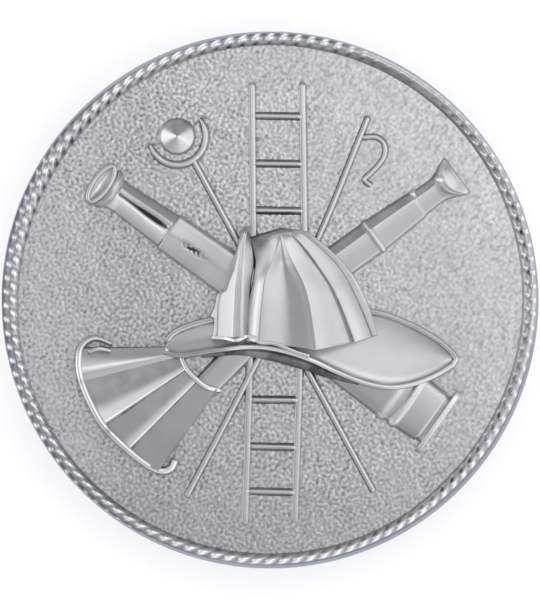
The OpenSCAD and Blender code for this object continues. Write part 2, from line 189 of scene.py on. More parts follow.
# The pike pole: x and y along its shaft, then along its hook from the shaft to the foot
PIKE_SHAFT = [(4.6, 8.55), (4.05, 7.2), (2.2, 2.75), (-1.1, -3.85), (-3.9, -9.2)]
HOOK = [(4.45, 7.68), (5.02, 7.69), (5.4, 7.36), (5.43, 6.87), (5.15, 6.4), (4.72, 5.95),
        (4.46, 5.68), (4.7, 5.45)]
HOOK_W = 0.22
HOOK_H = 0.16

# The nozzle. Its axis runs from the mouth down to the coupling
NOZZLE_MOUTH = (-7.95, 5.48)
NOZZLE_END = (8.03, -5.8)
# Stations: distance from the mouth, half width, height, bow of the station along the axis
NOZZLE_ROWS = [
    (-0.1, 0.86, 0.26, 0),
    (0.25, 0.98, 0.3, 0),
    (0.36, 1.02, 0.5, 0.12),
    (0.56, 0.98, 0.5, 0.16),
    (0.66, 0.88, 0.4, 0.16),
    (0.78, 0.78, 0.46, 0.1),
    (1.2, 0.74, 0.46, 0),
    (3.84, 0.88, 0.52, 0),
    (3.9, 0.98, 0.62, 0),
    (7.5, 1.04, 0.66, 0),
    (8.6, 1.1, 0.6, 0),
    (10.5, 1.2, 0.4, 0),
    (14.2, 1.32, 0.42, 0),
    (16.85, 1.42, 0.5, 0.1),
    (16.95, 1.5, 0.5, 0.1),
    (17.18, 1.5, 0.5, 0.1),
    (17.28, 1.38, 0.5, 0.1),
    (17.5, 1.38, 0.5, 0.1),
    (17.58, 1.5, 0.6, 0.1),
    (17.78, 1.5, 0.6, 0.1),
    (17.88, 1.4, 0.54, 0.1),
    (19.0, 1.36, 0.54, 0.05),
    (19.1, 1.28, 0.5, 0),
    (19.26, 1.28, 0.5, 0),
    (19.34, 1.76, 0.64, 0),
    (19.56, 1.76, 0.64, 0),
]
MOUTH_ACROSS = 0.98
MOUTH_ALONG = 0.36
MOUTH_W = 0.11
MOUTH_H = 0.62
# Where the first barrel starts and ends, where the second starts, and where and how softly it turns
# into the drum
NOZZLE_FIRST = (0.7, 3.86)
NOZZLE_SECOND = 3.88
NOZZLE_DRUM = (11, 2)
# Groove along the first barrel, painted black as shade: where it lies across the barrel, its half width
# and depth. Then where it starts and ends, and where it is widest and over what length
NOZZLE_GROOVE = (0.1, 0.11, 0.45)
GROOVE_SPAN = (0.75, 3.78)
GROOVE_WIDEST = (2.9, 1.0)
# Pitted stain on the second barrel: distance, place across the barrel, half length, half width
NOZZLE_STAIN = (5.3, -0.06, 0.6, 0.12)
# Rings of the nozzle, painted bright as highlights: distance and half width
NOZZLE_RINGS = [(17.06, 0.15), (17.68, 0.13), (19.46, 0.16)]
# The bowl inside the mouth's ring, from its foot over its rim to its middle: part of the ring's
# radius, and height
BOWL_ROWS = [(0.01, -SINK), (1, -SINK), (1, 0.52), (0.8, 0.46), (0.45, 0.4), (0.01, 0.38)]

# The trumpet. Its barrel runs from the mouthpiece down to the helmet
TRUMPET_MOUTH = (8.82, 5.86)
TRUMPET_UNDER = (2.4, 1.17)
# Stations: distance from the lip, half width, height, bow of the station along the axis
TRUMPET_ROWS = [
    (-0.06, 1.0, 0.2, 0),
    (0.0, 1.03, 0.44, 0),
    (0.02, 1.03, 0.42, 0.1),
    (0.03, 1.03, 0.42, 0.28),
    (0.04, 1.03, 0.43, 0.46),
    (0.05, 1.03, 0.46, 0.62),
    (0.08, 1.02, 0.6, 0.7),
    (0.2, 0.97, 0.56, 0.68),
    (0.5, 0.84, 0.5, 0.5),
    (0.75, 0.72, 0.48, 0.3),
    (1.05, 0.62, 0.46, 0.12),
    (1.4, 0.6, 0.46, 0.03),
    (2.25, 0.64, 0.47, 0),
    (2.32, 0.7, 0.52, 0),
    (4.72, 0.85, 0.58, 0),
    (4.79, 0.92, 0.66, 0),
    (4.93, 0.92, 0.66, 0),
    (5.0, 0.84, 0.56, 0),
    (7.95, 0.86, 0.58, 0),
]
# Where the barrel's crease lies across it, and where its steep side, painted dark with shade, ends
TRUMPET_CREASE = -0.42
TRUMPET_STEEP = -0.44
# Ring of its collar, painted bright as a highlight, and the painted dark line of shade before it:
# distance and half width
TRUMPET_RING = (4.86, 0.1)
TRUMPET_LINE = (4.7, 0.07)
# Small knobs on the trumpet: x, y, radius and top
TRUMPET_KNOBS = [(8.0, 5.66, 0.27, 0.8), (6.76, 4.98, 0.2, 0.72)]
# Its barrel below the brim: x, y, half width, height
BARREL_ROWS = [(-0.9, -1.85, 0.64, 0.44), (-3.1, -4.15, 0.58, 0.44)]
# Bead at the bell's collar: x, y, half width, height
COLLAR_ROWS = [
    (-4.22, -2.62, 0.1, 0.5),
    (-3.9, -3.28, 0.13, 0.66),
    (-3.4, -3.8, 0.14, 0.72),
    (-2.94, -4.11, 0.13, 0.66),
    (-2.36, -4.26, 0.1, 0.4),
]
# The bell's valley lines: x and y at the collar, then at the rim, and the height at the rim
BELL_LINES = [
    [(-4.25, -2.2), (-8.5, -2.24), 0.5],
    [(-4.25, -2.65), (-8.8, -3.84), 0.6],
    [(-3.9, -3.25), (-7.7, -5.86), 0.6],
    [(-3.4, -3.8), (-6.55, -7.02), 0.56],
    [(-2.5, -4.22), (-5.05, -7.75), 0.56],
]
# Where each flute's crest lies between its two valleys, its height over them, how blunt it is, and its
# band of painted highlight: where it starts softly at the rim and at the collar, where it ends and how
# bright it is. Last, how much painted shade darkens the rest
BELL_CRESTS = [
    (0.68, 0.24, 0.3, 0.14, 0.62, 0.75, 0.7, 0.16),
    (0.95, 0.28, 0.05, 0.5, 0.6, 1.02, 0.72, 0.52),
    (0.95, 0.24, 0.05, 0.6, 0.6, 1.02, 0.66, 0.36),
    (1, 0.24, 0.01, 1.2, 1.2, 1.3, 0, 0.2),
]
BELL_COLLAR_PART = 0.7
# Bead round the bell's rim: x, y, half width, height
RIM_ROWS = [
    (-7.5, -2.05, 0.09, 0.4),
    (-8.25, -1.8, 0.12, 0.55),
    (-8.85, -2.14, 0.155, 0.65),
    (-9.02, -2.9, 0.155, 0.8),
    (-8.87, -3.84, 0.155, 0.88),
    (-8.4, -4.95, 0.155, 0.95),
    (-7.8, -5.95, 0.155, 0.95),
    (-6.65, -7.08, 0.155, 0.9),
    (-5.75, -7.78, 0.155, 0.75),
    (-5.1, -8.05, 0.155, 0.7),
    (-4.66, -7.92, 0.16, 0.68),
    (-4.5, -7.6, 0.17, 0.64),
]

# Gaps of painted shade in the rim's painted highlight where two valleys meet it: x and y
RIM_GAPS = [(-8.88, -3.86), (-7.62, -6.15)]
# Short bead inside the curl at the rim's upper end
RIM_INNER = [(-8.52, -2.43, 0.07, 0.86), (-8.07, -2.29, 0.09, 0.88), (-7.53, -2.38, 0.07, 0.8)]

# The helmet's crown. Each line fans from the top to the base: x and y along it
CROWN_LINES = [
    [(-0.9, 2.86), (-0.73, 2.16), (-0.67, 1.71), (-0.76, 0.99), (-0.9, 0.35), (-1.09, -0.54),
     (-1.13, -1.2), (-1.16, -1.9)],
    [(0.3, 3.2), (0.42, 2.8), (0.17, 1.96), (-0.21, 1.16), (-0.33, 0.5), (-0.42, -0.3), (-0.5, -1.15),
     (-0.57, -2.0)],
    [(0.52, 3.27), (0.68, 2.67), (0.97, 1.96), (1.31, 1.35), (1.62, 0.72), (1.85, -0.09),
     (2.04, -1.2), (2.18, -2.34)],
    [(0.75, 3.3), (1.33, 2.8), (1.76, 2.3), (2.29, 1.6), (2.79, 0.87), (3.15, 0.2), (3.6, -0.86),
     (4.0, -1.96)],
    [(0.95, 3.31), (1.63, 3.06), (2.15, 2.68), (2.76, 2.16), (3.36, 1.49), (3.87, 0.62), (4.4, -0.52),
     (4.86, -1.68)],
    [(1.05, 3.33), (1.74, 3.19), (2.32, 2.77), (2.94, 2.26), (3.52, 1.67), (4.13, 0.83), (4.68, -0.4),
     (5.05, -1.63)],
]
# Height of each line as a part of the crown's height, at the top and from half way down, and of the
# surface along the way down: on the first line, then on the others
CROWN_LIFT_TOP = [0.76, 0.95, 1.0, 0.98, 0.95, 0.9]
CROWN_LIFT = [0.76, 0.95, 1.0, 0.84, 0.62, 0.55]
CROWN_WAY_LEFT = [(0, 0.4), (0.06, 0.65), (0.2, 0.86), (0.4, 0.96), (0.65, 1.0), (1, 0.95)]
CROWN_WAY = [(0, 0.74), (0.05, 0.92), (0.16, 0.97), (0.4, 0.99), (0.65, 1.0), (1, 0.98)]
CROWN_H = 1.6
# Each panel is a scoop between two lines: where it is deepest and how deep. Then the painted shade
# before the next line, soft, the painted shade in that line, and the painted highlight a little after
# its own line
CROWN_PANELS = [
    (0.5, 0.03, 0, 0.04, 0),
    (0.55, 0.14, 0, 0, 0),
    (0.85, 0.07, 0.36, 0.6, 0.2),
    (0.85, 0.06, 0.3, 0.3, 0.44),
    (0.5, 0.04, 0.15, 0, 0.1),
]
# How far after a line its painted highlight is strongest
CROWN_HIGHLIGHT_AT = 0.2

# The front piece: x of its edge, fold, bright ridge, valley, second ridge and right edge, then y, from
# the tip down
FRONT_ROWS = [
    (-1.2, -1.18, -1.16, -1.11, -1.06, -0.98, 3.42),
    (-1.43, -1.38, -1.32, -1.24, -1.16, -0.93, 2.81),
    (-1.55, -1.49, -1.39, -1.3, -1.24, -0.83, 2.34),
    (-1.75, -1.58, -1.44, -1.3, -1.22, -0.79, 1.86),
    (-1.94, -1.7, -1.51, -1.33, -1.23, -0.82, 1.39),
    (-2.03, -1.89, -1.58, -1.35, -1.25, -0.91, 0.92),
    (-2.15, -2.05, -1.63, -1.37, -1.26, -0.95, 0.45),
    (-2.46, -2.3, -1.64, -1.38, -1.26, -0.96, 0.28),
    (-2.57, -2.44, -1.66, -1.4, -1.27, -0.98, -0.26),
    (-2.76, -2.46, -1.68, -1.42, -1.28, -1, -0.78),
    (-2.6, -2.47, -1.69, -1.42, -1.28, -1.01, -0.9),
    (-2.69, -2.51, -1.71, -1.45, -1.29, -1.04, -1.77),
]
FRONT_LIFT = (0.92, 0.93, 1.4, 1.39, 1.46, 1.2)
# Where the painted dark gap of shade between the front piece and the crown is darkest: its middle y and
# half length
FRONT_GAP = (1.3, 0.75)

# The brim. Stations: x and y of the near edge, then of the far edge, and the two heights
BRIM_ROWS = [
    (-4.95, -2.42, -4.85, -1.9, 0.67, 0.63),
    (-4.4, -2.6, -4.45, -1.5, 0.72, 0.63),
    (-3.5, -2.52, -3.5, -1.12, 0.8, 0.63),
    (-2.4, -2.34, -2.4, -0.9, 0.86, 0.63),
    (-0.8, -2.2, -0.8, -0.8, 0.9, 0.57),
    (0.5, -2.36, 0.9, -0.6, 0.95, 0.57),
    (1.9, -2.8, 2.6, -0.5, 0.95, 0.57),
    (3.2, -3.4, 4.2, -0.5, 0.93, 0.57),
    (4.5, -3.9, 5.3, -0.65, 0.89, 0.57),
    (5.65, -4.1, 6.2, -0.98, 0.84, 0.57),
    (6.7, -3.96, 7.1, -1.4, 0.76, 0.57),
    (7.8, -3.55, 7.95, -1.92, 0.68, 0.57),
    (8.62, -3.05, 8.6, -2.5, 0.63, 0.59),
]
BRIM_TURN = (8.79, -2.78, 0.62)
# Knob at the brim's left tip, painted bright as a highlight: x, y, radius and height
BRIM_KNOB = (-4.86, -2.34, 0.2, 0.78)
BRIM_DIP = 0.12
BRIM_BEAD_W = 0.12
BRIM_BEAD_LIFT = 0.05
# How far inside the rolled edge's middle the painted dark line of shade along it lies
BRIM_LINE = 0.16
# How far the brim's top lies below its rolled edge
BRIM_TOP_DROP = 0.1
# The underside that shows below the front of the brim, painted dark as shadow: x, y, half width, height
BRIM_UNDER = [
    (-3.2, -2.62, 0.06, 0.5),
    (-2.4, -2.52, 0.12, 0.55),
    (-1.4, -2.44, 0.17, 0.6),
    (-0.2, -2.54, 0.24, 0.6),
    (0.8, -2.76, 0.26, 0.6),
    (1.9, -3.12, 0.24, 0.55),
    (3.0, -3.54, 0.18, 0.5),
    (4.2, -3.94, 0.12, 0.45),
]
# The edge along the base of the front piece and the crown: x, y and height
BASE_EDGE = [
    (-2.7, -1.76, 0.98),
    (-2.1, -1.8, 1.2),
    (-1.68, -1.9, 1.44),
    (-1.35, -1.82, 1.44),
    (-1.1, -1.7, 1.36),
    (-0.72, -1.76, 1.46),
    (-0.5, -1.98, 1.52),
    (0.26, -2.06, 1.54),
    (1.2, -2.44, 1.56),
    (1.82, -2.62, 1.56),
]
BASE_EDGE_W = 0.085
# Dark specks of tarnish beside the raised items: x, y, half length, half width and angle
FIELD_SPECKS = [
    (-3.85, 8.31, 0.11, 0.1, 0),
    (-3.52, 8.33, 0.14, 0.06, 40),
    (-3.28, 8.19, 0.08, 0.08, 0),
    (-3.09, 8.6, 0.2, 0.07, -15),
    (-5.5, 7.32, 0.32, 0.07, 12),
    (-4.9, 4.28, 0.09, 0.06, -35),
    (-3.5, 3.4, 0.12, 0.06, -35),
    (-3.2, 3.16, 0.1, 0.05, -35),
    (-0.82, 10.24, 0.17, 0.07, 15),
    (1.52, 10.24, 0.12, 0.08, 0),
    (-0.57, 7.6, 0.08, 0.08, 0),
    (1.86, 9.0, 0.1, 0.06, -60),
    (1.86, 8.66, 0.09, 0.07, 30),
    (-1.58, 3.3, 0.1, 0.07, 60),
    (1.95, 2.98, 0.1, 0.09, 0),
    (2.72, 2.5, 0.12, 0.05, 35),
    (-1.3, -4.45, 0.2, 0.08, 80),
    (-1.75, -5.5, 0.12, 0.06, 60),
]

# Noises of the metal, in cells to a metre: slow clouds of roughness, tarnish and painted shade broken up
# finely and in patches, patches of wear and painted highlight, and the fine pits of the field
CLOUD_SCALE = 420.0
BROKEN_SCALE = 3500.0
PATCH_SCALE = 800.0
WEAR_SCALE = 900.0
PIT_SCALE = 5200.0
# The strike drew the field's pits out by this much, at this angle from +X in degrees
PIT_STRETCH = 1.7
PIT_ANGLE = 50
# Where the edge's colour, a painted reflection, starts outside the rope, inward from the rim, and how
# softly
COOL_FROM = 0.26
COOL_SOFT = 0.05

CLUTCH_COLOR = (0.7, 0.7, 0.71)
FLOOR_HALF = 3.0
# Area lights: name, azimuth from +X and angle from the vertical, width and height, how bright they look,
# and distance
SOFTBOXES = [
    ("overhead", 45, 17, (0.06, 0.06), 0.74, 0.11),
    ("key_right", -25, 52, (0.05, 0.03), 1.3, 0.2),
]
# The room's colour, how bright it looks in the metal, and how brightly it lights the floor
ROOM_COLOR = (0.98, 0.98, 1.0)
ROOM_GLOW = 0.5
FLOOR_GLOW = 1.4
# Soft glows round the room: azimuth from +X and angle from the vertical of each one's middle, the
# angles from its middle where it starts to fade and ends, and its brightness
ROOM_GLOWS = [
    (-12, 44, 16, 52, 0.42),
    (0, 62, 8, 34, 0.32),
    (-55, 68, 10, 36, 0.42),
    (180, 66, 10, 32, 1.0),
    (270, 62, 10, 45, 0.2),
    (90, 70, 10, 40, 0.14),
    (140, 68, 10, 36, 0.25),
]


class PinSizes(bpy.types.PropertyGroup):
    """Sizes of the disc's surface that a user may change"""

    rope_twists: IntProperty(
        name="Rope twists", description="Number of twists round the rim", default=120, min=60, max=160
    )
    rope_height: FloatProperty(
        name="Rope height", description="Height of the rope's crown above the field",
        default=0.4e-3, unit="LENGTH",
    )
    grain_height: FloatProperty(
        name="Rope relief", description="How far a grain stands out of the rope",
        default=0.12e-3, unit="LENGTH",
    )
    pebble_size: FloatProperty(
        name="Pebble size", description="Distance between two pebbles of the field's grain",
        default=0.25e-3, unit="LENGTH",
    )
    pebble_depth: FloatProperty(
        name="Pebble depth", description="How far the field's grain rises and falls",
        default=0.005e-3, unit="LENGTH",
    )


class PinFinish(bpy.types.PropertyGroup):
    """Colours and finishes of the metal"""

    plate_color: FloatVectorProperty(
        name="Plate", description="Colour of the nickel plate", subtype="COLOR",
        default=(0.5, 0.5, 0.515), min=0, max=1,
    )
    # The worn colour also paints highlights onto the crests
    wear_and_highlight_color: FloatVectorProperty(
        name="Worn crests", description="Colour where handling has polished the crests",
        subtype="COLOR", default=(0.97, 0.97, 0.98), min=0, max=1,
    )
    # The tarnish colour also paints shade into crevices, hollows and shaded sides
    tarnish_and_shade_color: FloatVectorProperty(
        name="Tarnish", description="Colour of the grime in the crevices", subtype="COLOR",
        default=(0.06, 0.06, 0.068), min=0, max=1,
    )
    # The edge's cool colour is a painted reflection of the room in the sloped edge
    edge_reflection_color: FloatVectorProperty(
        name="Edge", description="Cooler colour of the disc's edge", subtype="COLOR",
        default=(0.19, 0.21, 0.26), min=0, max=1,
    )
    relief_roughness: FloatProperty(
        name="Relief roughness", description="Roughness of the smooth emblem", default=0.27,
        min=0, max=1, subtype="FACTOR",
    )
    field_roughness: FloatProperty(
        name="Field roughness", description="Roughness of the pebbled field", default=0.28,
        min=0, max=1, subtype="FACTOR",
    )


class PinStage(bpy.types.PropertyGroup):
    """Floor, lights and camera"""

    floor_color: FloatVectorProperty(
        name="Floor", description="Colour of the plain floor", subtype="COLOR",
        default=(0.93, 0.93, 0.93), min=0, max=1,
    )
    camera_distance: FloatProperty(
        name="Camera distance", description="Height of the camera over the disc's face",
        default=0.32, unit="LENGTH",
    )
    view_width: FloatProperty(
        name="View width", description="Width of the picture at the disc's face",
        default=25.49e-3, unit="LENGTH",
    )


def spline(rows, steps):
    """A smooth curve through the rows of a table, with `steps` stretches between two rows"""
    rows = np.asarray(rows, float)
    padded = np.vstack([rows[:1], rows, rows[-1:]])
    t = np.linspace(0, 1, steps, endpoint=False)[:, None]
    parts = [
        b + 0.5 * t * (c - a + t * (2 * a - 5 * b + 4 * c - d + t * (3 * b - a - 3 * c + d)))
        for a, b, c, d in zip(padded, padded[1:], padded[2:], padded[3:])
    ]
    return np.vstack([*parts, rows[-1:]])


def even(rows, step, columns=(0, 1)):
    """The same path with rows about `step` apart, measured over the given columns"""
    rows = np.asarray(rows, float)
    gaps = np.linalg.norm(np.diff(rows[:, columns], axis=0), axis=1)
    along = np.concatenate([[0], np.cumsum(gaps)])
    count = max(2, round(along[-1] / step) + 1)
    at = np.linspace(0, along[-1], count)
    return np.stack([np.interp(at, along, column) for column in rows.T], axis=1)


def level(x):
    """0 below 0, 1 above 1, and a smooth step between"""
    x = np.clip(x, 0, 1)
    return x * x * (3 - 2 * x)


def rise(x, start, length):
    """0 before the start, 1 once `length` past it"""
    return level((x - start) / length)


def fall(x, end, length):
    """1 until `length` before the end, 0 past it"""
    return level((end - x) / length)


def spot(x, middle, half):
    """1 in the middle, fading softly on both sides"""
    return np.exp(-(((x - middle) / half) ** 2))


def oval(x, y, half_x, half_y):
    """A soft spot in two directions"""
    return np.exp(-((x / half_x) ** 2) - (y / half_y) ** 2)


def strongest(*masks):
    """The strongest of the masks at each place"""
    return functools.reduce(np.maximum, masks)


def blend(a, b, part):
    """From a to b as the part goes from 0 to 1"""
    return a + (b - a) * part


def unit(v):
    """The same directions at length 1"""
    return v / np.maximum(np.linalg.norm(v, axis=-1, keepdims=True), 1e-9)


def left_of_path(xy, ring):
    """The direction to the left of a path at each of its points"""
    ahead = np.roll(xy, -1, 0) - np.roll(xy, 1, 0) if ring else np.gradient(xy, axis=0)
    ahead = unit(ahead)
    return np.stack([-ahead[:, 1], ahead[:, 0]], axis=1)


def round_ends(path, steps=4):
    """Adds a quarter round at both ends of a path. Rows: x, y, half width, height"""
    turn = np.linspace(0, math.pi / 2, steps + 1)[1:, None]
    ends = []
    for first, second in ((path[0], path[1]), (path[-1], path[-2])):
        away = unit(first[:2] - second[:2])
        xy = first[:2] + away * first[2] * np.sin(turn)
        half = first[2] * np.maximum(np.cos(turn), 0.12)
        high = first[3] * (0.25 + 0.75 * np.cos(turn))
        ends.append(np.hstack([xy, half, high]))
    return np.vstack([ends[0][::-1], path, ends[1]])


def strip(path, sides=12, power=2.0, flare=0.05, ring=False, grime_and_shade=0.4, shine=0.4,
          shine_from=0.8, bulge=0.8, foot_shine=0, grime_and_shade_side=0):
    """Sections, crevice mask and crest mask of a raised strip; the crevice mask darkens with grime and
    painted shade, the crest mask brightens with wear and painted highlight. Rows of its path: x, y, half
    width, height. `power` squares its round top, which is `bulge` of its half width high at most, over
    steep walls. `flare` spreads its foot over the field, `grime_and_shade` is how dark that foot is
    painted, for grime and shade, and `shine` how bright its round top is painted above `shine_from` of
    it, for wear and highlight. `foot_shine` is how bright the foot is painted, and
    `grime_and_shade_side`, from -1 to 1, takes the foot's darkening to the path's right or left side. It
    is one number, or one for each row of the path."""
    xy, half, high = path[:, :2], path[:, 2:3], path[:, 3:4]
    left = left_of_path(xy, ring)
    u = -np.cos(np.linspace(0, math.pi, sides + 1))
    dome = (1 - np.abs(u) ** power) ** (1 / power)
    round_h = np.minimum(high - LIP, bulge * half)
    z = high - round_h * (1 - dome)
    foot = half + flare
    across = np.hstack([-foot, -foot, half * u, foot, foot])
    low = np.zeros_like(half)
    z = np.hstack([low - SINK, low, z, low, low - SINK])
    points = np.dstack([
        xy[:, :1] + left[:, :1] * across,
        xy[:, 1:] + left[:, 1:] * across,
        z,
    ])
    # The foot is painted dark with grime and shade, the round top painted bright with wear and highlight
    low_part = np.clip(1 - z / (0.45 * high), 0, 1)
    crevice = low_part * grime_and_shade * (1 + grime_and_shade_side * np.sign(across))
    worn = level((1 - (high - z) / round_h - shine_from) / 0.2)
    crest = np.maximum(worn * shine, low_part * foot_shine)
    return points, crevice, crest


def along_axis(start, end, rows, step, soften=2):
    """Stations of a turned body every `step` along its axis, with its steps a little rounded.
    Rows: distance, half width, height, bow. Returns x, y, half width, height, bow and distance."""
    start = np.array(start)
    axis = unit(np.array(end) - start)
    fine = even(rows, step, (0, 1, 2, 3))
    for _ in range(soften):
        fine[1:-1] = (fine[:-2] + 2 * fine[1:-1] + fine[2:]) / 4
    xy = start + axis * fine[:, :1]
    return np.hstack([xy, fine[:, 1:4], fine[:, :1]]), axis


def turned(start, end, rows, shape, step=0.04, sides=44, flare=0.02, grime_and_shade=0.2):
    """Sections and masks of a turned body lying along a line. `shape(distance, u)` gives its height as a
    part of the station's height, how dark it is painted there, for dirt and shade, and how bright, for
    wear and highlight, u being -1 to 1 across."""
    path, axis = along_axis(start, end, rows, step)
    points, crevice, crest = strip(path[:, :4], sides, flare=flare, grime_and_shade=grime_and_shade, foot_shine=0.7)
    u = -np.cos(np.linspace(0, math.pi, sides + 1))
    part, dirt_and_shade, polish_and_highlight = shape(path[:, 5:6], u[None, :])
    inner = slice(2, -2)
    # The shape's masks paint dirt and shade into the body, and wear and highlights onto it
    crest[:, inner] = polish_and_highlight
    points[:, inner, 2] = LIP + (path[:, 3:4] - LIP) * part
    crevice[:, inner] = np.maximum(dirt_and_shade, np.clip(1 - part / 0.3, 0, 1) * grime_and_shade)
    u = np.concatenate([[-1, -1], u, [1, 1]])[None, :]
    points[:, :, :2] += axis * (path[:, 4:5] * (1 - u * u))[:, :, None]
    return points, crevice, crest


def rounded_edge(u, power=14):
    """1 over the middle of a body, falling to 0 at its two sides"""
    return np.sqrt(np.maximum(1 - np.abs(u) ** power, 0))


def roof(u, crease, left_drop, right_drop, soft=0.006):
    """A body with a blunt crease along it: 1 at the crease, less toward each side"""
    left = left_drop * (crease - u) / (1 + crease)
    right = right_drop * (u - crease) / (1 - crease)
    return (1 - soft * np.logaddexp(left / soft, right / soft)) * rounded_edge(u)


def masks_of_surface(grid, scale):
    """Crevice and crest masks from how a surface bends across: hollows are crevices, edges are crests.
    The hollows get painted shade, the edges painted highlights."""
    z = np.pad(grid[:, :, 2], ((0, 0), (2, 2)), mode="edge")
    bend = ((z[:, :-4] + z[:, 4:]) / 2 - grid[:, :, 2]) / scale
    return np.clip(bend, 0, 1), np.clip(-bend, 0, 1)


def sheet_with_walls(grid, flare, top_spread, drop=0.06):
    """Pads a raised surface with its walls: a rounded shoulder, a flared foot and a sunk base.
    `top_spread` widens the one before its first row."""
    xy = grid[:, :, :2]
    out_rows = [unit(xy[0] - xy[1]) * top_spread, unit(xy[-1] - xy[-2])]
    out_cols = [unit(xy[:, 0] - xy[:, 1]), unit(xy[:, -1] - xy[:, -2])]
    shoulder = 0.015
    rings = ((shoulder, -drop), (flare, 0), (flare, -SINK))
    count = len(rings)
    padded = np.pad(grid, ((count, count), (count, count), (0, 0)), mode="edge")
    out_cols = [np.pad(o, ((count, count), (0, 0)), mode="edge") for o in out_cols]
    out_rows = [np.pad(o, ((count, count), (0, 0)), mode="edge") for o in out_rows]
    ring_of = np.zeros(padded.shape[:2], int)
    for k, (spread, _) in enumerate(rings):
        for side, at in ((0, count - 1 - k), (1, -(count - k))):
            padded[at, :, :2] += out_rows[side] * spread
            padded[:, at, :2] += out_cols[side] * spread
            ring_of[at, :] = np.maximum(ring_of[at, :], k + 1)
            ring_of[:, at] = np.maximum(ring_of[:, at], k + 1)
    for k, (_, z) in enumerate(rings):
        here = ring_of == k + 1
        padded[here, 2] = np.maximum(padded[here, 2] + z, LIP) if k == 0 else z
    return padded, ring_of


def surface(name, grid, material, bend=0.02, flare=0.06, grime_and_shade=0.5, darken=0, polish_and_highlight=0, top_painted_shade=0,
            top_spread=1):
    """A raised surface with its walls and masks, as a piece of the pin. `grime_and_shade` is how dark
    its foot is painted, for grime and shade; `darken`, painted shade, and `polish_and_highlight`, wear
    and painted highlight, are masks that come over those of its bends; `top_painted_shade` and
    `top_spread` are how much shade is painted on the wall before its first row and how wide that wall
    is."""
    crevice, crest = masks_of_surface(grid, bend)
    crevice = np.maximum(crevice, darken)
    crest = np.maximum(crest, polish_and_highlight)
    padded, ring_of = sheet_with_walls(grid, flare, top_spread)
    count = ring_of.max()
    crevice = np.pad(crevice, count, mode="edge")
    crest = np.pad(crest, count, mode="edge")
    # The walls are painted dark with grime and shade, their shoulder a quarter as much, and get no
    # highlight
    crevice = np.where(ring_of >= 2, grime_and_shade, np.where(ring_of == 1, 0.25 * grime_and_shade, crevice))
    crevice[:count] = np.maximum(crevice[:count], top_painted_shade)
    crest = np.where(ring_of >= 1, 0, crest)
    index = np.arange(ring_of.size).reshape(ring_of.shape)
    rim = [*index[0, :-1], *index[:-1, -1], *index[-1, :0:-1], *index[:0:-1, 0]]
    piece(name, padded, quads_of(index), [rim], crevice, crest, material)


def quads_of(index):
    """The faces between neighbours in a grid of vertex numbers"""
    quads = np.stack([index[:-1, :-1], index[1:, :-1], index[1:, 1:], index[:-1, 1:]], axis=-1)
    return quads.reshape(-1, 4)


def solid(name, parts, material):
    """One piece from several closed lofts. Each part is its sections, its crevice mask, its crest
    mask and whether it is a closed ring."""
    all_points, all_quads, all_caps = [], [], []
    crevices, crests = [], []
    offset = 0
    for points, crevice, crest, ring in parts:
        m, n = points.shape[:2]
        index = offset + np.arange(m * n).reshape(m, n)
        if ring:
            index = np.vstack([index, index[:1]])
        index = np.hstack([index, index[:, :1]])
        all_quads.append(quads_of(index))
        if not ring:
            all_caps += [list(index[0, :-1]), list(index[-1, -2::-1])]
        all_points.append(points.reshape(-1, 3))
        crevices.append(np.broadcast_to(crevice, (m, n)).ravel())
        crests.append(np.broadcast_to(crest, (m, n)).ravel())
        offset += m * n
    return piece(name, np.vstack(all_points), np.vstack(all_quads), all_caps,
                 np.concatenate(crevices), np.concatenate(crests), material)


def piece(name, points, quads, caps, crevice, crest, material):
    """A mesh object of the pin that rides on its one body. Points are in millimetres over the field."""
    points = points.reshape(-1, 3) + np.array([0, 0, FIELD_Z])
    faces = quads.tolist() + [[int(i) for i in cap] for cap in caps]
    mesh = bpy.data.meshes.new(name)
    mesh.from_pydata((points * MM).tolist(), [], faces)
    for key, values in (("crevice", crevice), ("crest", crest)):
        attribute = mesh.attributes.new(key, "FLOAT", "POINT")
        attribute.data.foreach_set("value", np.ravel(values).astype(np.float32))
    mesh.update()
    if volume_of(points, quads) < 0:
        mesh.flip_normals()
    mesh.shade_smooth()
    mesh.materials.append(material)
    made = bpy.data.objects.new(name, mesh)
    bpy.context.scene.collection.objects.link(made)
    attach(made, "root")
    return made


def volume_of(points, quads):
    """Signed volume under the faces: negative when they are wound inside out"""
    a, b, c, d = (points[quads[:, k]] for k in range(4))
    pairs = ((a, b, c), (a, c, d))
    return sum(np.einsum("ij,ij->i", p, np.cross(q, r)).sum() for p, q, r in pairs)


def new_group(name, inputs, outputs):
    """A shader node group with named sockets. Each input: name, socket type, default"""
    group = bpy.data.node_groups.new(name, "ShaderNodeTree")
    for label, kind, value in inputs:
        socket = group.interface.new_socket(label, in_out="INPUT", socket_type=kind)
        if value is not None:
            socket.default_value = value
    for label, kind in outputs:
        group.interface.new_socket(label, in_out="OUTPUT", socket_type=kind)
    return group, group.nodes.new("NodeGroupInput"), group.nodes.new("NodeGroupOutput")


def feed(tree, value, socket):
    """Links an output to a socket, or sets the socket to a plain value"""
    if hasattr(value, "links"):
        tree.links.new(value, socket)
    else:
        socket.default_value = value


def mix_color(tree, factor, first, second):
    """Mixes two colours. In Blender's Mix node, sockets 6 and 7 are the colours."""
    node = tree.nodes.new("ShaderNodeMix")
    node.data_type = "RGBA"
    node.blend_type = "MIX"
    for socket, value in ((0, factor), (6, first), (7, second)):
        feed(tree, value, node.inputs[socket])
    return node.outputs[2]


def math_node(tree, kind, *values, clamp=False):
    """One step of arithmetic on outputs or plain values"""
    node = tree.nodes.new("ShaderNodeMath")
    node.operation = kind
    node.use_clamp = clamp
    for socket, value in zip(node.inputs, values):
        feed(tree, value, socket)
    return node.outputs[0]


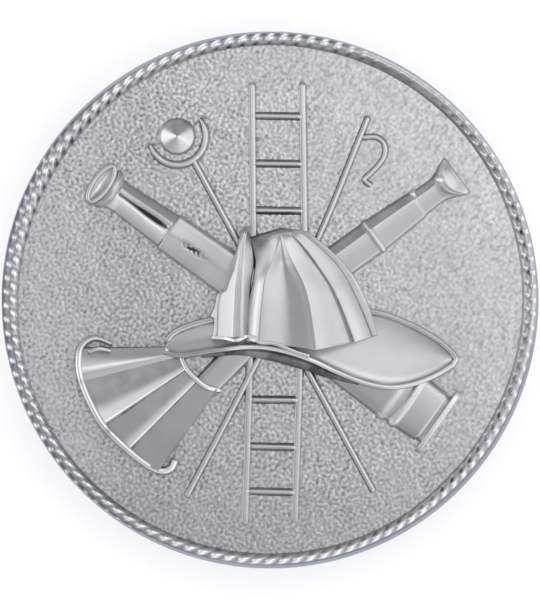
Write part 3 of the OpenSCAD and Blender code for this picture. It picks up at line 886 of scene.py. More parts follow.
def noise(tree, vector, scale, detail):
    """Blender's noise, `scale` cells to a metre"""
    node = tree.nodes.new("ShaderNodeTexNoise")
    node.inputs["Detail"].default_value = detail
    tree.links.new(vector, node.inputs["Vector"])
    feed(tree, scale, node.inputs["Scale"])
    return node.outputs["Fac"]


def satin_grain_group():
    """Fine grain of a satin plate: a height for the bump and a roughness that varies"""
    group, given, result = new_group(
        "Satin Grain",
        [
            ("Vector", "NodeSocketVector", None),
            ("Grain Scale", "NodeSocketFloat", 9000.0),
            ("Roughness", "NodeSocketFloat", 0.3),
            ("Variation", "NodeSocketFloat", 0.06),
        ],
        [("Height", "NodeSocketFloat"), ("Roughness", "NodeSocketFloat")],
    )
    fine = noise(group, given.outputs["Vector"], given.outputs["Grain Scale"], 3)
    cloudy = noise(group, given.outputs["Vector"], CLOUD_SCALE, 4)
    shift = math_node(group, "SUBTRACT", cloudy, 0.5)
    shift = math_node(group, "MULTIPLY", shift, given.outputs["Variation"])
    shift = math_node(group, "MULTIPLY", shift, 4.0)
    rough = math_node(group, "ADD", given.outputs["Roughness"], shift, clamp=True)
    group.links.new(fine, result.inputs["Height"])
    group.links.new(rough, result.inputs["Roughness"])
    return group


def tarnish_and_shade_group():
    """Tarnish and painted shade that darken the crevices, broken up a little"""
    group, given, result = new_group(
        "Crevice Tarnish",
        [
            ("Vector", "NodeSocketVector", None),
            ("Color", "NodeSocketColor", (0.8, 0.8, 0.8, 1)),
            ("Tarnish", "NodeSocketColor", (0.1, 0.1, 0.1, 1)),
            ("Crevice", "NodeSocketFloat", 0.0),
            ("Amount", "NodeSocketFloat", 0.8),
        ],
        [("Color", "NodeSocketColor"), ("Mask", "NodeSocketFloat")],
    )
    broken = noise(group, given.outputs["Vector"], BROKEN_SCALE, 2)
    broken = math_node(group, "MULTIPLY_ADD", broken, 0.7, 0.65)
    patchy = noise(group, given.outputs["Vector"], PATCH_SCALE, 2)
    patchy = math_node(group, "MULTIPLY_ADD", patchy, 2.2, -0.25, clamp=True)
    mask = math_node(group, "POWER", given.outputs["Crevice"], 1.3)
    mask = math_node(group, "MULTIPLY", mask, broken)
    mask = math_node(group, "MULTIPLY", mask, patchy)
    mask = math_node(group, "MULTIPLY", mask, given.outputs["Amount"], clamp=True)
    color = mix_color(group, mask, given.outputs["Color"], given.outputs["Tarnish"])
    group.links.new(color, result.inputs["Color"])
    group.links.new(mask, result.inputs["Mask"])
    return group


def wear_and_highlight_group():
    """Crests painted brighter, for the wear of handling and for highlights"""
    group, given, result = new_group(
        "Edge WearHighlight",
        [
            ("Vector", "NodeSocketVector", None),
            ("Color", "NodeSocketColor", (0.8, 0.8, 0.8, 1)),
            ("Worn", "NodeSocketColor", (0.9, 0.9, 0.9, 1)),
            ("Crest", "NodeSocketFloat", 0.0),
            ("Amount", "NodeSocketFloat", 0.5),
        ],
        [("Color", "NodeSocketColor"), ("Mask", "NodeSocketFloat")],
    )
    patchy = noise(group, given.outputs["Vector"], WEAR_SCALE, 3)
    patchy = math_node(group, "MULTIPLY_ADD", patchy, 0.8, 0.6)
    mask = math_node(group, "MULTIPLY", given.outputs["Crest"], patchy)
    mask = math_node(group, "MULTIPLY", mask, given.outputs["Amount"], clamp=True)
    color = mix_color(group, mask, given.outputs["Color"], given.outputs["Worn"])
    group.links.new(color, result.inputs["Color"])
    group.links.new(mask, result.inputs["Mask"])
    return group


def effect_group(name):
    """The named effect's group, built once"""
    makers = {
        "Satin Grain": satin_grain_group,
        "Crevice Tarnish": tarnish_and_shade_group,
        "Edge WearHighlight": wear_and_highlight_group,
    }
    return bpy.data.node_groups.get(name) or makers[name]()


def place_group(tree, name, **values):
    """The effect's node in a material, with its inputs set or linked"""
    node = tree.nodes.new("ShaderNodeGroup")
    node.node_tree = effect_group(name)
    for label, value in values.items():
        feed(tree, value, node.inputs[label.replace("_", " ")])
    return node


def attribute_value(tree, name):
    """A mask that is stored on the mesh's vertices"""
    node = tree.nodes.new("ShaderNodeAttribute")
    node.attribute_name = name
    return node.outputs["Fac"]


def opaque(color):
    """The colour with full alpha"""
    return (*color, 1)


def pitted(tree, vector, mask, sign, amount):
    """Adds the grain's fine pits, or with a `sign` of -1 its fine crests, to a mask"""
    drawn = tree.nodes.new("ShaderNodeMapping")
    drawn.vector_type = "TEXTURE"
    drawn.inputs["Rotation"].default_value = (0, 0, math.radians(PIT_ANGLE))
    drawn.inputs["Scale"].default_value = (PIT_STRETCH, 1, 1)
    tree.links.new(vector, drawn.inputs["Vector"])
    fine = math_node(tree, "SUBTRACT", 0.5, noise(tree, drawn.outputs["Vector"], PIT_SCALE, 0.0))
    fine = math_node(tree, "MULTIPLY_ADD", fine, 8.0 * sign, -0.35, clamp=True)
    return math_node(tree, "MULTIPLY_ADD", fine, amount, mask, clamp=True)


def metal(name, color, roughness, grain_scale, grain_depth, tarnish_and_shade, wear_and_highlight, edge=None, speckle=0):
    """A plated metal: satin grain, tarnish and painted shade in its crevices, and wear and painted
    highlights on its crests. `edge` tints the colour outside the rope with a painted reflection, and
    `speckle` adds fine pits and crests."""
    if name in bpy.data.materials:
        return bpy.data.materials[name]
    finish = bpy.context.scene.pin_finish
    material = bpy.data.materials.new(name)
    material.use_nodes = True
    tree = material.node_tree
    shader = tree.nodes["Principled BSDF"]
    shader.inputs["Metallic"].default_value = 1.0
    vector = tree.nodes.new("ShaderNodeTexCoord").outputs["Object"]
    # The crevice mask carries tarnish and painted shade, the crest mask wear and painted highlights
    crevice, crest = attribute_value(tree, "crevice"), attribute_value(tree, "crest")
    if speckle:
        crevice = pitted(tree, vector, crevice, 1, speckle)
        crest = pitted(tree, vector, crest, -1, 0.8 * speckle)
    base = opaque(color)
    if edge is not None:
        base = edge_reflection_tint(tree, vector, base, opaque(edge))
    worn = place_group(
        tree, "Edge WearHighlight", Vector=vector, Color=base, Worn=opaque(finish.wear_and_highlight_color),
        Crest=crest, Amount=wear_and_highlight,
    )
    tarnished_and_shaded = place_group(
        tree, "Crevice Tarnish", Vector=vector, Color=worn.outputs["Color"],
        Tarnish=opaque(finish.tarnish_and_shade_color), Crevice=crevice, Amount=tarnish_and_shade,
    )
    grain = place_group(
        tree, "Satin Grain", Vector=vector, Grain_Scale=grain_scale, Roughness=roughness,
        Variation=0.05,
    )
    rough = math_node(tree, "MULTIPLY_ADD", tarnished_and_shaded.outputs["Mask"], 0.25, grain.outputs["Roughness"])
    bump = tree.nodes.new("ShaderNodeBump")
    bump.inputs["Strength"].default_value = 1.0
    bump.inputs["Distance"].default_value = grain_depth
    tree.links.new(grain.outputs["Height"], bump.inputs["Height"])
    tree.links.new(tarnished_and_shaded.outputs["Color"], shader.inputs["Base Color"])
    tree.links.new(rough, shader.inputs["Roughness"])
    tree.links.new(bump.outputs["Normal"], shader.inputs["Normal"])
    return material


def edge_reflection_tint(tree, vector, base, edge):
    """Mixes in the edge's colour, a painted reflection of the room, outside the rope, by the distance
    from the disc's axis
    """
    apart = tree.nodes.new("ShaderNodeSeparateXYZ")
    tree.links.new(vector, apart.inputs[0])
    x2 = math_node(tree, "POWER", apart.outputs["X"], 2.0)
    y2 = math_node(tree, "POWER", apart.outputs["Y"], 2.0)
    radius = math_node(tree, "SQRT", math_node(tree, "ADD", x2, y2))
    start = (DISC_R - COOL_FROM) * MM
    past = math_node(tree, "SUBTRACT", radius, start)
    mask = math_node(tree, "MULTIPLY", past, 1 / (COOL_SOFT * MM), clamp=True)
    return mix_color(tree, mask, base, edge)


def plate_metal():
    """Satin back and sloped edge, whose cooler colour is a painted reflection"""
    finish = bpy.context.scene.pin_finish
    return metal(
        "Plated back and edge", finish.plate_color, roughness=0.3, grain_scale=7000.0,
        grain_depth=2.0e-6, tarnish_and_shade=0.5, wear_and_highlight=0.2, edge=finish.edge_reflection_color,
    )


def field_metal():
    """The grainy field, with fine pits and crests"""
    finish = bpy.context.scene.pin_finish
    return metal(
        "Pebbled field", finish.plate_color, roughness=finish.field_roughness, grain_scale=11000.0,
        grain_depth=4.0e-6, tarnish_and_shade=0.55, wear_and_highlight=0.4, speckle=0.4,
    )


def relief_metal():
    """The smooth emblem, which is worn bright and painted with highlights on its crests"""
    finish = bpy.context.scene.pin_finish
    return metal(
        "Smooth relief", finish.plate_color, roughness=finish.relief_roughness, grain_scale=6000.0,
        grain_depth=0.6e-6, tarnish_and_shade=0.85, wear_and_highlight=0.9,
    )


def rope_metal():
    """The rope, with the darkest painted shade in its pits and the brightest painted highlights on its
    grains
    """
    finish = bpy.context.scene.pin_finish
    return metal(
        "Rope border", finish.plate_color, roughness=finish.relief_roughness, grain_scale=8000.0,
        grain_depth=1.0e-6, tarnish_and_shade=1.0, wear_and_highlight=1.0, edge=finish.edge_reflection_color,
    )


def clutch_metal():
    """Pressed sheet, which is paler than the plate"""
    return metal(
        "Pressed clutch", CLUTCH_COLOR, roughness=0.28, grain_scale=5000.0, grain_depth=1.5e-6,
        tarnish_and_shade=0.5, wear_and_highlight=0.2,
    )


def lathe(profile, sides, centre=(0, 0)):
    """Rings round an axis, one for each profile row of radius and height. Caps close the two ends."""
    turn = np.linspace(0, -2 * math.pi, sides, endpoint=False)
    profile = np.asarray(profile, float)
    return np.dstack([
        centre[0] + np.cos(turn) * profile[:, :1],
        centre[1] + np.sin(turn) * profile[:, :1],
        np.broadcast_to(profile[:, 1:], (len(profile), sides)),
    ])


def corner(x, z, radius, start, steps=4):
    """A rounded corner of a profile: its arc's centre, radius and first angle, a quarter turn long"""
    angle = np.radians(start) + np.linspace(0, math.pi / 2, steps + 1)
    return [(x + radius * math.cos(a), z + radius * math.sin(a)) for a in angle]


def lower(thing, amount):
    """Moves an object's mesh down by that many millimetres"""
    thing.data.transform(Matrix.Translation((0, 0, -amount * MM)))


def build_plate():
    """The disc's back, its rounded corner, its wall and its sloped edge, and the two posts"""
    back_r, edge_w, edge_h, bevel_w, bevel_h = 0.15, 0.2, 0.6, 0.02, 0.06
    # Under the rope and the field the plate steps down
    ledge_w, step_w, under = 0.1, 0.04, 0.3
    profile = [
        (AXIS_R, 0),
        *corner(DISC_R - back_r, back_r, back_r, -90),
        (DISC_R, DISC_T - edge_h),
        (DISC_R - bevel_w, DISC_T - edge_h + bevel_h),
        (DISC_R - edge_w, DISC_T),
        (DISC_R - edge_w - ledge_w, DISC_T),
        (DISC_R - edge_w - (ledge_w + step_w), DISC_T - under),
        (AXIS_R, DISC_T - under),
    ]
    parts = [(lathe(even(profile, PROFILE_STEP), 360), 0, 0, False)]
    foot_r, foot_t, point, half, fillet, grime_and_shade = 1.1, 0.25, 0.8, 0.55, 0.12, 0.6
    length = BACK_Z - POST_END_Z
    post = [
        (AXIS_R, DISC_T / 2),
        (foot_r, DISC_T / 2),
        (foot_r, -foot_t / 2),
        *[(half + fillet * (1 - math.sin(a)), -foot_t - fillet * math.cos(a) * 0.5)
          for a in np.linspace(0, math.pi / 2, 5)],
        (half, point - length),
        (half / 3, -length),
        (AXIS_R, -length),
    ]
    for side in (-1, 1):
        sections = lathe(even(post, PROFILE_STEP), 40, (side * POST_X, 0))
        radius = np.hypot(sections[:, :, 0] - side * POST_X, sections[:, :, 1])
        # The solder at each post's foot is painted dark with grime and shade
        solder = rise(radius, half, 0.1) * (np.abs(sections[:, :, 2] + foot_t) < fillet)
        parts.append((sections, solder * grime_and_shade, 0, False))
    made = solid("struck_plate", parts, plate_metal())
    lower(made, DISC_T)
    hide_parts("disc")


def grain_image(size, cell, seed, band_width=0.5, contrast=1.1):
    """Random pebbles about `cell` pixels apart: noise that keeps one band of wavelengths"""
    noise_image = np.random.default_rng(seed).standard_normal((size, size))
    f = np.fft.fftfreq(size)
    distance = np.maximum(np.hypot(f[:, None], f[None, :]), 1e-6)
    band = spot(np.log(distance * cell), 0, band_width)
    image = np.fft.ifft2(np.fft.fft2(noise_image) * band).real
    return np.tanh(contrast * image / image.std())


def blurred(image, pixels):
    """The image spread by a Gaussian of that many pixels"""
    f = np.fft.fftfreq(image.shape[0])
    spread = np.exp(-2 * (math.pi * pixels) ** 2 * (f[:, None] ** 2 + f[None, :] ** 2))
    return np.fft.ifft2(np.fft.fft2(image) * spread).real


def sample(image, xy, width):
    """Reads an image that covers a square of that width round the axis, between its pixels"""
    size = image.shape[0]
    at = (xy / width + 0.5) * (size - 1)
    low = np.clip(np.floor(at).astype(int), 0, size - 2)
    part = at - low
    x, y = low[..., 0], low[..., 1]
    a, b = part[..., 0], part[..., 1]
    return (image[y, x] * (1 - a) * (1 - b) + image[y, x + 1] * a * (1 - b)
            + image[y + 1, x] * (1 - a) * b + image[y + 1, x + 1] * a * b)


def lattice(radius, step):
    """Points and triangles of an even lattice that fills a disc"""
    rows = math.ceil(radius / (step * math.sin(math.pi / 3)))
    j, i = np.meshgrid(np.arange(-rows, rows + 1), np.arange(-rows - 2, rows + 3), indexing="ij")
    xy = np.stack([(i + 0.5 * (j % 2)) * step, j * step * math.sin(math.pi / 3)], axis=-1)
    index = np.arange(i.size).reshape(i.shape)
    a, b, c, d = index[:-1, :-1], index[:-1, 1:], index[1:, :-1], index[1:, 1:]
    odd = (j[:-1, :-1] % 2 == 1)[..., None]
    first = np.where(odd, np.stack([a, b, d], -1), np.stack([a, b, c], -1))
    second = np.where(odd, np.stack([a, d, c], -1), np.stack([b, d, c], -1))
    faces = np.concatenate([first.reshape(-1, 3), second.reshape(-1, 3)])
    xy = xy.reshape(-1, 2)
    inside = np.hypot(xy[:, 0], xy[:, 1]) < radius
    faces = faces[inside[faces].all(axis=1)]
    used = np.unique(faces)
    place = np.zeros(len(xy), int)
    place[used] = np.arange(len(used))
    return xy[used], place[faces]


def outline_of(faces):
    """The rim of a flat mesh of triangles, as the points in order round it"""
    ways = np.concatenate([faces[:, [0, 1]], faces[:, [1, 2]], faces[:, [2, 0]]])
    there = {tuple(way) for way in ways.tolist()}
    after = {a: b for a, b in there if (b, a) not in there}
    rim = [min(after)]
    while after[rim[-1]] != rim[0]:
        rim.append(after[rim[-1]])
    return np.array(rim)


def emblem_feet(width, size):
    """How close each place on the field is to the foot of a raised item, as an image"""
    image = np.zeros((size, size))
    on_field = 0.005
    for item in bpy.context.scene.objects:
        if item.type != "MESH" or "crevice" not in item.data.attributes:
            continue
        co = np.zeros(len(item.data.vertices) * 3)
        item.data.vertices.foreach_get("co", co)
        co = co.reshape(-1, 3) / MM
        feet = co[np.abs(co[:, 2] - FIELD_Z) < on_field, :2]
        at = np.round((feet / width + 0.5) * (size - 1)).astype(int)
        at = np.clip(at, 0, size - 1)
        image[at[:, 1], at[:, 0]] = 1
    return image


def build_field():
    """The pebbled field, calmer toward the upper right and close to the raised items. Shade is painted
    into its pebbles' hollows and round the raised items' feet, highlights onto its pebbles' tops, light
    onto it near its left and right rims and shade onto its bottom
    """
    sizes = bpy.context.scene.pin_sizes
    width, size = FIELD_IMAGE_W, FIELD_IMAGE_PX
    xy, faces = lattice(DISC_R - FIELD_INSET, FIELD_STEP)
    x, y = xy[:, 0], xy[:, 1]
    cell = sizes.pebble_size / MM / width * size
    pebbles = sample(grain_image(size, cell, PEBBLE_SEED), xy, width)
    swell = sample(grain_image(size, cell * 4, SWELL_SEED), xy, width)
    foot_blur, foot_gain, speck = 2.2, 5, 1.6
    near = np.clip(sample(blurred(emblem_feet(width, size), foot_blur), xy, width) * foot_gain, 0, 1)
    calm = rise(xy @ np.array(CALM_WAY), -1, 9)
    depth = sizes.pebble_depth / MM * (1 - 0.4 * calm) * (1 - 0.7 * near)
    z = depth * (pebbles + 0.5 * swell)
    # Painted shade in the pebbles' hollows and painted highlights on their tops
    pits = 1.3 * np.clip(-pebbles - 0.25, 0, 1) * (1 - 0.75 * calm)
    crest = 1.35 * np.clip(pebbles - 0.2, 0, 1) * (1 - 0.6 * calm)
    # Painted light at the left and a little at the right, painted shade at the bottom
    crest = crest + 0.58 * fall(x, -6.5, 4) + 0.14 * rise(x, 8, 3)
    crest = crest - 0.2 * fall(y, -7.5, 3)
    for speck_x, speck_y, half_long, half_wide, angle in FIELD_SPECKS:
        turn = np.radians(angle)
        along = (x - speck_x) * np.cos(turn) + (y - speck_y) * np.sin(turn)
        across = (y - speck_y) * np.cos(turn) - (x - speck_x) * np.sin(turn)
        pits = np.maximum(pits, speck * oval(along, across, half_long, half_wide))
    rim = outline_of(faces)
    grid = np.column_stack([xy, z])
    points = np.vstack([grid, grid[rim] - np.array([0, 0, SINK])])
    low = len(grid) + np.arange(len(rim))
    wall = np.stack([np.roll(rim, -1), rim, low, np.roll(low, -1)], axis=-1)
    # Painted shade round the feet of the raised items, besides the pits and the specks of tarnish
    crevice = np.concatenate([np.maximum(near * 0.15, pits), np.ones(len(rim))])
    crest = np.concatenate([crest, np.zeros(len(rim))])
    piece("pebbled_field", points, wall, [low[::-1], *faces], crevice, crest, field_metal())


def grains(phase, inward, row, lean, pitch, long, wide):
    """How much of a grain is at each place: ovals `pitch` apart that lean outward, on a row at that
    distance from the rim. `phase` counts the pitches round the rim."""
    out = row - inward
    spread = out / np.tan(lean)
    around = ((phase - spread / pitch + 0.5) % 1 - 0.5) * pitch + spread
    along = around * np.cos(lean) + out * np.sin(lean)
    across = out * np.cos(lean) - around * np.sin(lean)
    return oval(along, across, long, wide)


def build_rope():
    """The twisted rope: grains painted bright with highlights, in one or two rows, with pits beside them
    painted dark with shade, and a stretch at its upper right that is worn smooth"""
    sizes = bpy.context.scene.pin_sizes
    twists = sizes.rope_twists
    high = sizes.rope_height / MM
    relief = sizes.grain_height / MM
    pitch = 2 * math.pi * DISC_R / twists
    turns = np.arange(twists * ROPE_STEPS)[:, None] / ROPE_STEPS
    hour = turns * 360 / twists
    table = np.array(ROPE_ROWS)
    outer, inner, row, row_part, second, second_part, pit, pit_part, smooth, lean = (
        np.interp(hour, table[:, 0], column) for column in table.T[1:]
    )
    lean = np.radians(lean)
    way = np.linspace(0, 1, ROPE_ACROSS)[None, :]
    inward = outer + (inner - outer) * way
    two_rows = np.minimum(second_part, 1)
    # Where there is a second row, the main row's grains are shorter
    long = GRAIN_LONG * (1 - 0.3 * two_rows)
    main = row_part * grains(turns, inward, row, lean, pitch, long, GRAIN_WIDE)
    main = np.maximum(main, smooth * (row_part * spot(inward, row, GRAIN_WIDE)))
    other, pits = (
        part * grains(
            turns + shift, inward, place, leaning * lean, pitch, longer * GRAIN_LONG, wider * GRAIN_WIDE
        )
        for part, place, (shift, leaning, longer, wider) in (
            (second_part, second, SECOND_GRAIN),
            (pit_part, pit, PIT_GRAIN),
        )
    )
    between = two_rows * spot(inward, (row + second) / 2, 0.06)
    body = np.maximum(main, other) * (1 - 0.6 * between)
    dome = np.sin(math.pi * way) ** 0.5
    z = LIP + (high - LIP - relief) * dome + relief * (np.minimum(body, 1) - 0.6 * pits)
    # The darkening: painted shade in the pits, between the grains and on the rim's side, and the dark
    # line of the worn stretch
    worn_from, worn_to, worn_soft = WORN_STRETCH
    line_at, line_half, line_darkness = WORN_LINE
    worn = rise(hour, worn_from, worn_soft) * fall(hour, worn_to, worn_soft)
    line = line_darkness * worn * spot(inward, line_at, line_half)
    gaps = 0.45 * np.clip(0.5 - body, 0, 1) + 0.3 * between
    rim_side = 0.5 * np.clip(1 - body, 0, 1) * spot(way, 0, 0.22)
    crevice = np.clip(0.95 * pits * np.clip(1 - body, 0, 1) + line + gaps + rim_side, 0, 1)
    crevice = np.pad(crevice, ((0, 0), (2, 2)), mode="edge")
    # The grains are painted bright as highlights
    crest = np.pad(np.clip(1.25 * body - 0.2, 0, 0.95), ((0, 0), (2, 2)))
    foot_w, outer_foot_z = 0.02, -0.3
    inward = np.hstack([outer - foot_w, outer - foot_w, inward, inner + foot_w, inner + foot_w])
    flat = np.zeros_like(outer)
    z = np.hstack([flat - ROPE_SINK, flat + outer_foot_z, z, flat, flat - ROPE_SINK])
    a = np.radians(90 - hour)
    points = np.dstack([(DISC_R - inward) * np.cos(a), (DISC_R - inward) * np.sin(a), z])
    solid("rope_border", [(points, crevice, crest, True)], rope_metal())


def straight(first, last, width, height, step=0.25):
    """The path of a straight strip"""
    return even([(*first, width / 2, height), (*last, width / 2, height)], step)


def build_ladder():
    """Two rails above and below the helmet, with their rungs"""
    parts = []
    for first, last in RAILS:
        path = round_ends(straight(first, last, RAIL_W, RAIL_H))
        # The rails' feet are painted bright against their shade
        rail = strip(path, 14, power=4, flare=0.06, grime_and_shade=0, shine=0.16, foot_shine=0.85)
        parts.append((*rail, False))
    for first, last in RUNGS:
        path = straight(first, last, RUNG_W, RUNG_H)
        # The rungs' feet are painted dark with shade
        parts.append((*strip(path, 12, power=2.6, flare=0.1, grime_and_shade=0.85, shine=0.2), False))
    solid("ladder", parts, relief_metal())


def dome_at(x, y, profile, sides=40, shine=0.4, flare=0.03, grime_and_shade=0.7):
    """A round knob with a sunk foot. Profile rows from its foot to its top: radius and height"""
    foot = profile[0][0] + flare
    rings = lathe([(foot, -SINK), (foot, 0), *profile], sides, (x, y))
    # The foot is painted dark with grime and shade; the shine paints the knob bright as a highlight
    dirty_below = 0.3 * max(row[1] for row in profile)
    crevice = np.clip(1 - rings[:, :, 2] / dirty_below, 0, 1) * grime_and_shade
    return rings, crevice, shine, False


def build_ball_pole():
    """A pole with a pointed ball on a crescent"""
    shaft = round_ends(straight(*BALL_SHAFT, SHAFT_W, SHAFT_H))
    count = 60
    angle = np.radians(np.linspace(CRESCENT_FROM, CRESCENT_TO, count))
    from_tip = np.minimum(np.arange(count), np.arange(count)[::-1])
    taper = np.minimum(1, 0.45 + from_tip / 12)
    crescent = round_ends(np.stack([
        BALL_CENTRE[0] + CRESCENT_R * np.cos(angle),
        BALL_CENTRE[1] + CRESCENT_R * np.sin(angle),
        CRESCENT_W / 2 * taper,
        CRESCENT_H * (0.6 + 0.4 * taper),
    ], axis=1))
    sides = 72
    cone = even([BALL_SHOULDER, (0.05, BALL_H - 0.01), (0.01, BALL_H)], 0.04)
    profile = [(BALL_R, LIP), (BALL_R - 0.03, 0.08), *cone]
    ball, foot, shine, ring = dome_at(*BALL_CENTRE, profile, sides)
    # The ball is painted with shade on its upper half, and a little on its lower half
    up = np.sin(np.linspace(0, -2 * math.pi, sides, endpoint=False))
    painted_shade = 0.72 * rise(up, 0.3, 0.5) + 0.16 * rise(-up, 0.3, 0.5)
    # Painted shade lies on one side of the shaft's and the crescent's feet
    solid("ball_pole", [
        (*strip(shaft, 14, power=2.4, grime_and_shade=0.5, shine=0.3, grime_and_shade_side=-0.8), False),
        (*strip(crescent, 14, flare=0.06, grime_and_shade=0.6, shine=0.5, grime_and_shade_side=-0.3), False),
        (ball, np.maximum(0.15 * foot, painted_shade), shine, ring),
    ], relief_metal())


def build_pike_pole():
    """A pole with a hook near its tip"""
    shaft = np.array([(x, y, SHAFT_W / 2, SHAFT_H) for x, y in PIKE_SHAFT])
    hook = np.array([(x, y, HOOK_W / 2, HOOK_H) for x, y in HOOK])
    shaft = round_ends(even(spline(shaft, 6), 0.2))
    hook = round_ends(even(spline(hook, 8), 0.06))
    # Above the helmet painted shade lies on the shaft's one side, below it on the other
    side = np.where(shaft[:, 1:2] > 0, -0.8, 0.8)
    shaft, crevice, crest = strip(shaft, 14, power=2.4, grime_and_shade=0.6, shine=0.3, grime_and_shade_side=side)
    # One half of the shaft loses its painted highlight, and above the helmet it is painted with shade
    dark_half = fall(np.linspace(-1, 1, shaft.shape[1]), -0.05, 0.25)[None, :]
    crevice = np.maximum(crevice, 0.5 * dark_half * rise(shaft[:, :, 1], 1, 2))
    solid("pike_pole", [
        (shaft, crevice, crest * (1 - dark_half), False),
        (*strip(hook, 12, flare=0.05, grime_and_shade=0.45, grime_and_shade_side=-0.6), False),
    ], relief_metal())


def nozzle_shape(distance, u):
    """Round at first, then a grooved barrel, a creased barrel and a round drum. Its masks are a stain,
    painted shade and painted highlights.
    """
    first_from, first_to = NOZZLE_FIRST
    drum_from, drum_soft = NOZZLE_DRUM
    first = rise(distance, first_from, 0.15) * fall(distance, first_to, 0.05)
    second = rise(distance, NOZZLE_SECOND, 0.05) * fall(distance, drum_from, drum_soft)
    drum = rise(distance, drum_from, drum_soft)

    place, width, depth = NOZZLE_GROOVE
    groove_from, groove_to = GROOVE_SPAN
    groove_part = rise(distance, groove_from, 0.2) * fall(distance, groove_to, 0.15)
    thick = spot(distance, *GROOVE_WIDEST)
    groove = spot(u, place, width * (0.45 + 0.65 * thick))
    far_side = np.clip((u - 0.5) / 0.5, 0, 1)
    grooved = np.where(u < place, 1 - 0.05 * np.abs(u) ** 2, 1 - 0.05 * u - 0.62 * far_side)

    height = np.sqrt(np.maximum(1 - u * u, 0))
    height = blend(height, grooved * rounded_edge(u), first)
    height = blend(height, roof(u, -0.02, 0.09, 0.04), second)
    height = blend(height, (1 - 0.08 * (u - 0.35) ** 2) * rounded_edge(u), drum)
    height = height - depth * groove * groove_part

    at, across, half_length, half_width = NOZZLE_STAIN
    stain = oval(distance - at, u - across, half_length, half_width)
    pits = np.sin(distance * 15) * np.sin(u * 24 + distance * 7) > -0.25
    # Darkening: the groove painted black as shade, the pitted stain, and painted shade on shaded sides
    # and lines
    dirt_and_shade = strongest(
        groove * groove_part * (1.1 + 0.7 * thick),
        stain * pits * 1.9,
        # Painted shade on the first barrel's far side and at the groove's start
        0.3 * first * rise(u, 0.5, 0.1),
        0.9 * oval(distance - 1, u - place, 0.12, 0.14),
        # Painted shade in the line before the flange and on the lower side of the drum's end
        0.6 * spot(distance, 19.2, 0.07),
        0.45 * rise(distance, 17.9, 0.1) * fall(u, -0.55, 0.4),
    )
    below_groove = np.where(u < place - 0.06, spot(u, place, 0.6), 0)
    after_groove = rise(u, 0.1, 0.1) * fall(u, 0.45, 0.1)
    near_step = spot(distance, 4.3, 1.1) * rise(u, -0.05, 0.05) * fall(u, 0.9, 0.5)
    near_mouth = spot(distance, 1.05, 0.3) * fall(u, 0.02, 0.06)
    rings = sum(spot(distance, ring_at, wide) for ring_at, wide in NOZZLE_RINGS)
    # Painted highlights and light beside the groove, near the step and the mouth, on the lower halves
    # and on the rings
    polish_and_highlight = strongest(
        1.1 * first * below_groove,
        0.35 * first * after_groove,
        0.36 * near_step * second,
        0.9 * near_mouth,
        # Painted light on the lower halves of the two barrels
        0.4 * first * fall(u, -0.2, 0.2),
        0.38 * second * fall(u, -0.05, 0.05),
        # Painted highlights on the rings and on the drum's end
        0.75 * rings + 0.12 * rise(distance, 17.85, 0.05),
    )
    return np.clip(height - 0.05 * stain * pits, 0, 1), dirt_and_shade, polish_and_highlight


def build_nozzle():
    """The hose nozzle: its mouth ring and bowl, two barrels, ring beads, drum and flange"""
    parts = [(*turned(NOZZLE_MOUTH, NOZZLE_END, NOZZLE_ROWS, nozzle_shape), False)]
    start = np.array(NOZZLE_MOUTH)
    along = unit(np.array(NOZZLE_END) - start)
    across = np.array([-along[1], along[0]])
    a = np.linspace(0, 2 * math.pi, 80, endpoint=False)[:, None]
    ring = start + along * MOUTH_ALONG * np.cos(a) + across * MOUTH_ACROSS * np.sin(a)
    path = np.hstack([ring, np.full_like(a, MOUTH_W), np.full_like(a, MOUTH_H)])
    parts.append((*strip(path, 14, ring=True), True))
    bowl = even(BOWL_ROWS, 0.05)
    place = np.cos(a) * bowl[:, 0]
    side = np.sin(a) * bowl[:, 0]
    points = np.dstack([
        start[0] + along[0] * MOUTH_ALONG * place + across[0] * MOUTH_ACROSS * side,
        start[1] + along[1] * MOUTH_ALONG * place + across[1] * MOUTH_ACROSS * side,
        np.broadcast_to(bowl[:, 1], place.shape),
    ])
    # A painted highlight streaks the bowl, which is painted with shade elsewhere
    streak = np.exp(-(((place - 0.05) / 0.25) ** 2) - ((side - 0.1) / 0.6) ** 4)
    parts.append((points, 0.35 * (1 - streak), 1.1 * streak, True))
    solid("nozzle", parts, relief_metal())


def trumpet_shape(distance, u):
    """Round at the lip, then creased: a steep side to the upper left, a gentle one to the right. The
    steep side is painted dark with shade, and the crease, the lip and the ring are painted with
    highlights.
    """
    dome = np.sqrt(np.maximum(1 - u * u, 0))
    creased = rise(distance, 0.1, 0.6)
    part = blend(dome, roof(u, TRUMPET_CREASE, 0.5, 0.36), creased)
    flare = fall(distance, 1.35, 0.5)
    ring = spot(distance, *TRUMPET_RING)
    # Painted shade on the steep side and in the line before the collar; painted highlights along the
    # crease, at the lip and on the ring
    dirt_and_shade = (0.6 + 0.1 * flare) * creased * fall(u, TRUMPET_STEEP, 0.04)
    dirt_and_shade = np.maximum(dirt_and_shade, 0.5 * spot(distance, *TRUMPET_LINE)) * (1 - 0.7 * ring)
    light = 0.04 + 0.27 * spot(u, TRUMPET_CREASE, 0.42)
    polish_and_highlight = light * creased * rise(u, TRUMPET_STEEP, 0.04) * rise(distance, 0.3, 0.2)
    polish_and_highlight = np.maximum(polish_and_highlight, 0.22 * fall(distance, 0.3, 0.1) + 0.5 * ring * (u > -0.9))
    return part, dirt_and_shade, polish_and_highlight


